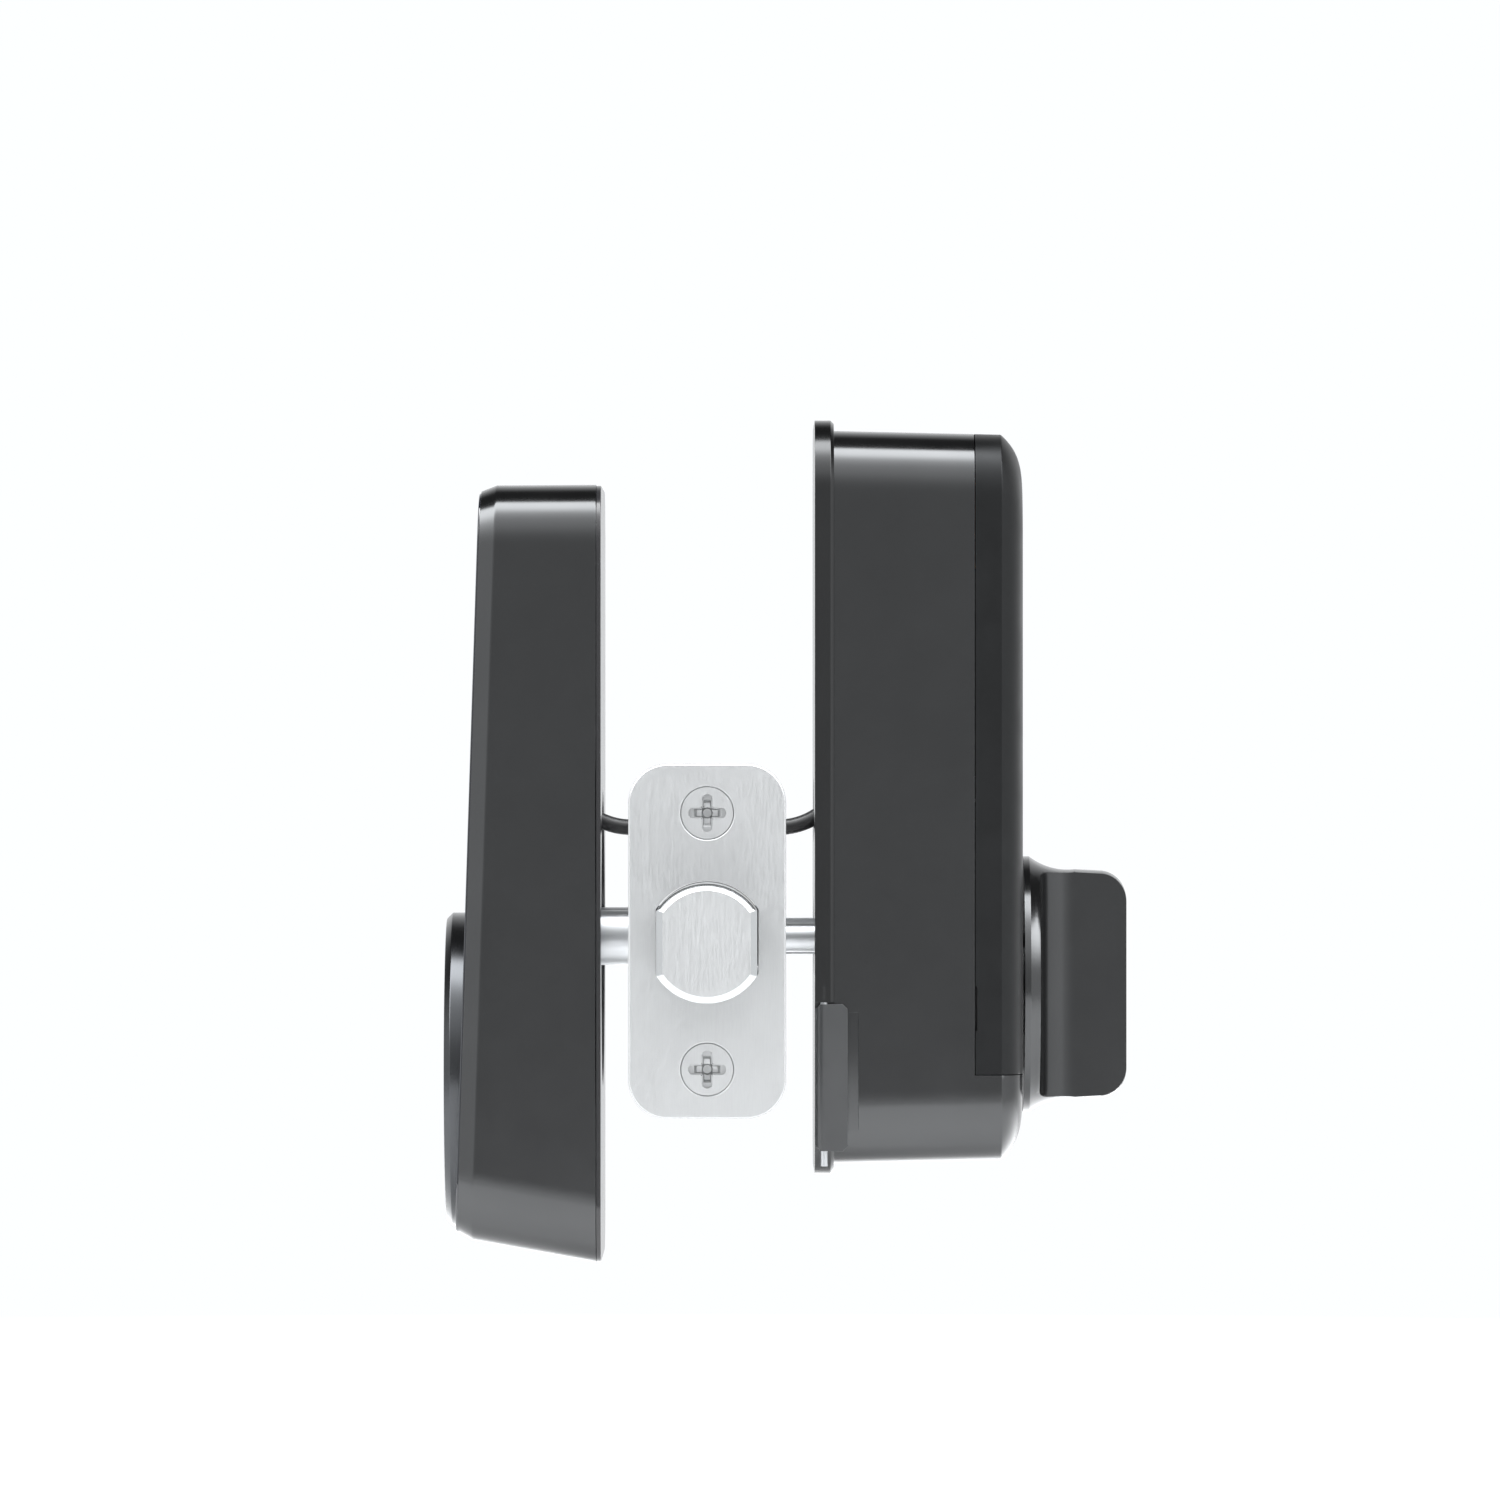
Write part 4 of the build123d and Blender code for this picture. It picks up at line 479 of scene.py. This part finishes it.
# ---------------------------------------------------------------- thumbturn unit's housing and battery cover
class InteriorForm:
    """Straight-sided body with a cushion-shaped front, as shells and cutting zones."""

    def __init__(self):
        low, high = (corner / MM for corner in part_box("interior_housing"))
        self.back, self.top, self.bottom, self.half = low.x, high.z, low.z, high.y
        self.draft, self.corner, self.wall = 0.022, 12.1, 2.2
        self.crease, self.cushion_depth, self.cushion_inset = 47.95, 3.65, 12.3
        self.cover_x, self.cover_z, self.gap = 43.6, -22.2, 0.15
        self.clear, self.side = 20, 60              # how far the cutting blocks reach past the body

    def ring(self, x, inset, squeeze=0.0, shift=0.0):
        """Section at x, squeezed inwards and then moved forwards."""
        move = inset + squeeze + self.draft * (x - self.back)
        extent = self.corner - inset - 0.3 * squeeze
        return [(x + shift, y, z) for y, z in
                outline(self.half - move, self.bottom + move, self.top - move, extent, SOFT)]

    def rings(self, inset):
        """Rings from the open back to the middle of the cushion."""
        crease, steps, edge = self.crease - inset, 26, 0.12
        made = [self.ring(x, inset) for x in (self.back, crease - 2 * edge, crease - 0.4 * edge)]
        for step in range(1, steps + 1):
            share = (step / steps) ** 1.7
            depth = self.cushion_depth * (1 - (1 - share) ** 4)
            made.append(self.ring(crease, inset, self.cushion_inset * share, depth))
        return made

    def shell(self):
        """Both surfaces of the wall as one closed body."""
        return skin(self.rings(self.wall)[::-1] + self.rings(0.0))

    def cover_zone(self, gap):
        """Block that holds the battery cover, its lower and rear faces moved by the gap."""
        return block(self.cover_x + gap, self.crease + self.clear, -self.side, self.side,
                     self.cover_z + gap, self.top + self.clear)


SHELL_EDGE = 0.07


def interior_housing(form):
    """Shell without the cover's part, with a shallow pocket beside each release latch."""
    pocket_x, pocket_reach, pocket_inset = (21.5, 24.6), 1.1, 1.4
    latch = [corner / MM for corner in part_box("release_latch_near")]
    cuts = [form.cover_zone(-form.gap / 2)]
    for side in (-1, 1):
        span = sorted((side * (form.half - pocket_reach), side * (form.half + 1)))
        cuts.append(block(*pocket_x, *span, latch[0].z + pocket_inset, latch[1].z - pocket_inset))
    stand_in(round_edges(combined(form.shell(), "DIFFERENCE", *cuts), SHELL_EDGE), "interior_housing")


def battery_cover(form):
    """Front of the shell, notched for the thumbturn's neck and nicked at both sides."""
    cover = combined(form.shell(), "INTERSECT", form.cover_zone(form.gap / 2))
    axis_z, notch, reach, clear = -8.0, 9.4, 5, form.clear
    grip_z, grip_height, grip_depth = -11.4, 7.3, 0.35
    cuts = [disc_between(form.cover_x - reach, form.crease + clear, axis_z, notch),
            block(form.cover_x - reach, form.crease + clear, -notch, notch, form.cover_z - reach, axis_z)]
    for side in (-1, 1):
        span = sorted((side * 30, side * 40))
        cuts.append(block(form.cover_x - 1, form.cover_x + grip_depth, *span,
                          grip_z - grip_height / 2, grip_z + grip_height / 2))
    stand_in(round_edges(combined(cover, "DIFFERENCE", *cuts), SHELL_EDGE), "battery_cover")


# ---------------------------------------------------------------- the other nodes, their edges rounded
EDGE_WIDTHS = {
    "latch_faceplate": 0.16, "thumbturn": 0.16, "interior_mounting_plate": 0.10,
    "release_latch_near": 0.25, "release_latch_far": 0.25, "exterior_gasket": 0.12, "sensor_bezel": 0.12,
    "keypad_panel": 0.05, "keypad_legends": 0.02, "latch_case": 0.12, "battery_tray": 0.25,
    "gearbox_cover": 0.25, "motor": 0.15,
}
PLAIN_EDGE, BOLT_EDGE, SCREW_EDGE = 0.08, 0.10, 0.09
CROSS_HEAD_RADIUS, CROSS_REACH, CROSS_ARM, CROSS_DEPTH, CROSS_TAPER = 4.18, 3.05, 0.86, 1.7, 0.55
AS_MADE = ("battery_contacts", "harness")
BUILT = ("exterior_housing", "interior_housing", "battery_cover", "deadbolt", "faceplate_screws")


def deadbolt():
    """Bolt whose chamfered tip is polished brighter than its brushed sides."""
    mesh = round_edges(from_node("deadbolt"), BOLT_EDGE)
    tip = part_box("deadbolt")[0].y
    chamfer_reach = 1.5 * MM
    for face in mesh.faces:
        polished = face.calc_center_median().y < tip + chamfer_reach and 0.2 < -face.normal.y < 0.95
        face.material_index = int(polished)
    polish = brushed_metal("tip_polish", (0.40, 0.41, 0.415), 0.16, (1.0, 1.0, 1.0), 0.0004)
    stand_in(mesh, "deadbolt", finishes["satin_nickel"], polish)


def faceplate_screws():
    """Countersunk screws with a tapered cross recess."""
    mesh = from_node("faceplate_screws")
    low, high = (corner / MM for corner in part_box("faceplate_screws"))
    centre = (high.z - low.z) / 2 - CROSS_HEAD_RADIUS
    cuts = []
    for side in (-1, 1):
        for length, width in ((CROSS_REACH, CROSS_ARM), (CROSS_ARM, CROSS_REACH)):
            rings = []
            for y, shrink in ((low.y - 0.5, 1.0), (low.y + CROSS_DEPTH, CROSS_TAPER)):
                x, z = length * shrink, width * shrink
                rings.append([(-x, y, side * centre - z), (x, y, side * centre - z),
                              (x, y, side * centre + z), (-x, y, side * centre + z)])
            cuts.append(skin(rings))
    for cut in cuts:
        mesh = combined(mesh, "DIFFERENCE", cut)
    stand_in(round_edges(mesh, SCREW_EDGE), "faceplate_screws")


def rounded_nodes():
    """Gives each remaining node its finish, with rounded edges except on wires and springs."""
    for node in sorted(frame["nodes"]):
        if node in BUILT:
            continue
        if node in AS_MADE:
            frame["nodes"][node].material_slots[0].material = finishes[SLOT_OF[node]]
            continue
        stand_in(round_edges(from_node(node), EDGE_WIDTHS.get(node, PLAIN_EDGE)), node)


finishes = {slot: make() for slot, make in FINISHES.items()}
exterior_housing()
interior_form = InteriorForm()
interior_housing(interior_form)
battery_cover(interior_form)
deadbolt()
faceplate_screws()
rounded_nodes()


# ---------------------------------------------------------------- studio
# Brightness of the room against Y of the direction, level with the lock and over it. The two ends come first.
AROUND = ((-1.0, 0.85), (1.0, 1.0), (-0.9, 1.15), (-0.7, 1.7), (0.0, 1.5), (0.5, 1.05))
ABOVE = ((-1.0, 0.9), (1.0, 1.0), (-0.857, 1.9), (-0.669, 2.7), (-0.5, 4.4), (-0.30, 11.0), (-0.04, 12.5),
         (0.03, 0.12), (0.62, 0.12), (0.80, 0.7))


def studio():
    """White backdrop, dark ceiling behind the lock and a broad strip of light over the camera's side."""
    scene = bpy.context.scene
    scene.view_settings.view_transform = "Standard"
    scene.view_settings.look = "None"

    world = bpy.data.worlds.new("studio")
    scene.world = world
    world.use_nodes = True
    nodes, links = world.node_tree.nodes, world.node_tree.links
    direction = nodes.new("ShaderNodeTexCoord").outputs["Generated"]
    split = nodes.new("ShaderNodeSeparateXYZ")
    links.new(direction, split.inputs[0])

    def levels(stops):
        """Ramp along Y, from the camera's side (-1) to the backdrop (+1)."""
        along = nodes.new("ShaderNodeMapRange")
        along.inputs["From Min"].default_value = -1.0
        links.new(split.outputs["Y"], along.inputs["Value"])
        ramp = nodes.new("ShaderNodeValToRGB")
        links.new(along.outputs[0], ramp.inputs[0])
        elements = ramp.color_ramp.elements
        for number, (position, level) in enumerate(stops):
            share = (position + 1) / 2
            stop = elements[number] if number < 2 else elements.new(share)
            stop.position = share
            stop.color = (level * 0.985, level, level * 1.015, 1)
        return ramp.outputs[0]

    around = levels(AROUND)
    above = levels(ABOVE)
    height = nodes.new("ShaderNodeMapRange")
    height.interpolation_type = "SMOOTHSTEP"
    height.inputs["From Min"].default_value = 0.15
    height.inputs["From Max"].default_value = 0.55
    links.new(split.outputs["Z"], height.inputs["Value"])
    blend = nodes.new("ShaderNodeMix")
    blend.data_type = "RGBA"
    links.new(height.outputs[0], blend.inputs["Factor"])
    links.new(around, blend.inputs[6])
    links.new(above, blend.inputs[7])
    links.new(blend.outputs[2], nodes["Background"].inputs["Color"])
    nodes["Background"].inputs["Strength"].default_value = 1.0


def floor():
    """Pale studio floor that fades out into the white surroundings."""
    radius, below = 0.7, 0.04
    bpy.ops.mesh.primitive_circle_add(vertices=128, radius=radius, fill_type="NGON",
                                      location=(0, 0, cad_box[0].z - below))
    sheet = bpy.context.object
    sheet.name = "studio_floor"
    finish = Finish("studio_floor", (0.80, 0.80, 0.80), 0.6)
    finish.put("Base Color", finish.mix(finish.noise(3.0, 4.0), (0.80, 0.80, 0.80), (0.84, 0.84, 0.84)))
    finish.bump(finish.noise(0.8, 3.0), 0.02)
    far = finish.node("ShaderNodeVectorMath", {"operation": "LENGTH"}, {0: finish.place()}, "Value")
    finish.put("Alpha", finish.between(far, 1.0, 0.0, 320.0, 680.0))
    sheet.data.materials.append(finish.material)


def camera():
    """Long lens, level, square on to the door's edge."""
    data = bpy.data.cameras.new("camera")
    data.lens, data.sensor_width = 300.0, 36.0
    width = 241.5 * MM
    aside, height = 6.9 * MM, 30.8 * MM
    distance = width * data.lens / data.sensor_width
    low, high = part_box("latch_faceplate")
    view = bpy.data.objects.new("camera", data)
    view.location = ((low.x + high.x) / 2 + aside, low.y - distance, height)
    view.rotation_euler = (math.pi / 2, 0, 0)
    data.clip_start, data.clip_end = 0.1, 20
    bpy.context.scene.collection.objects.link(view)
    bpy.context.scene.camera = view


studio()
floor()
camera()
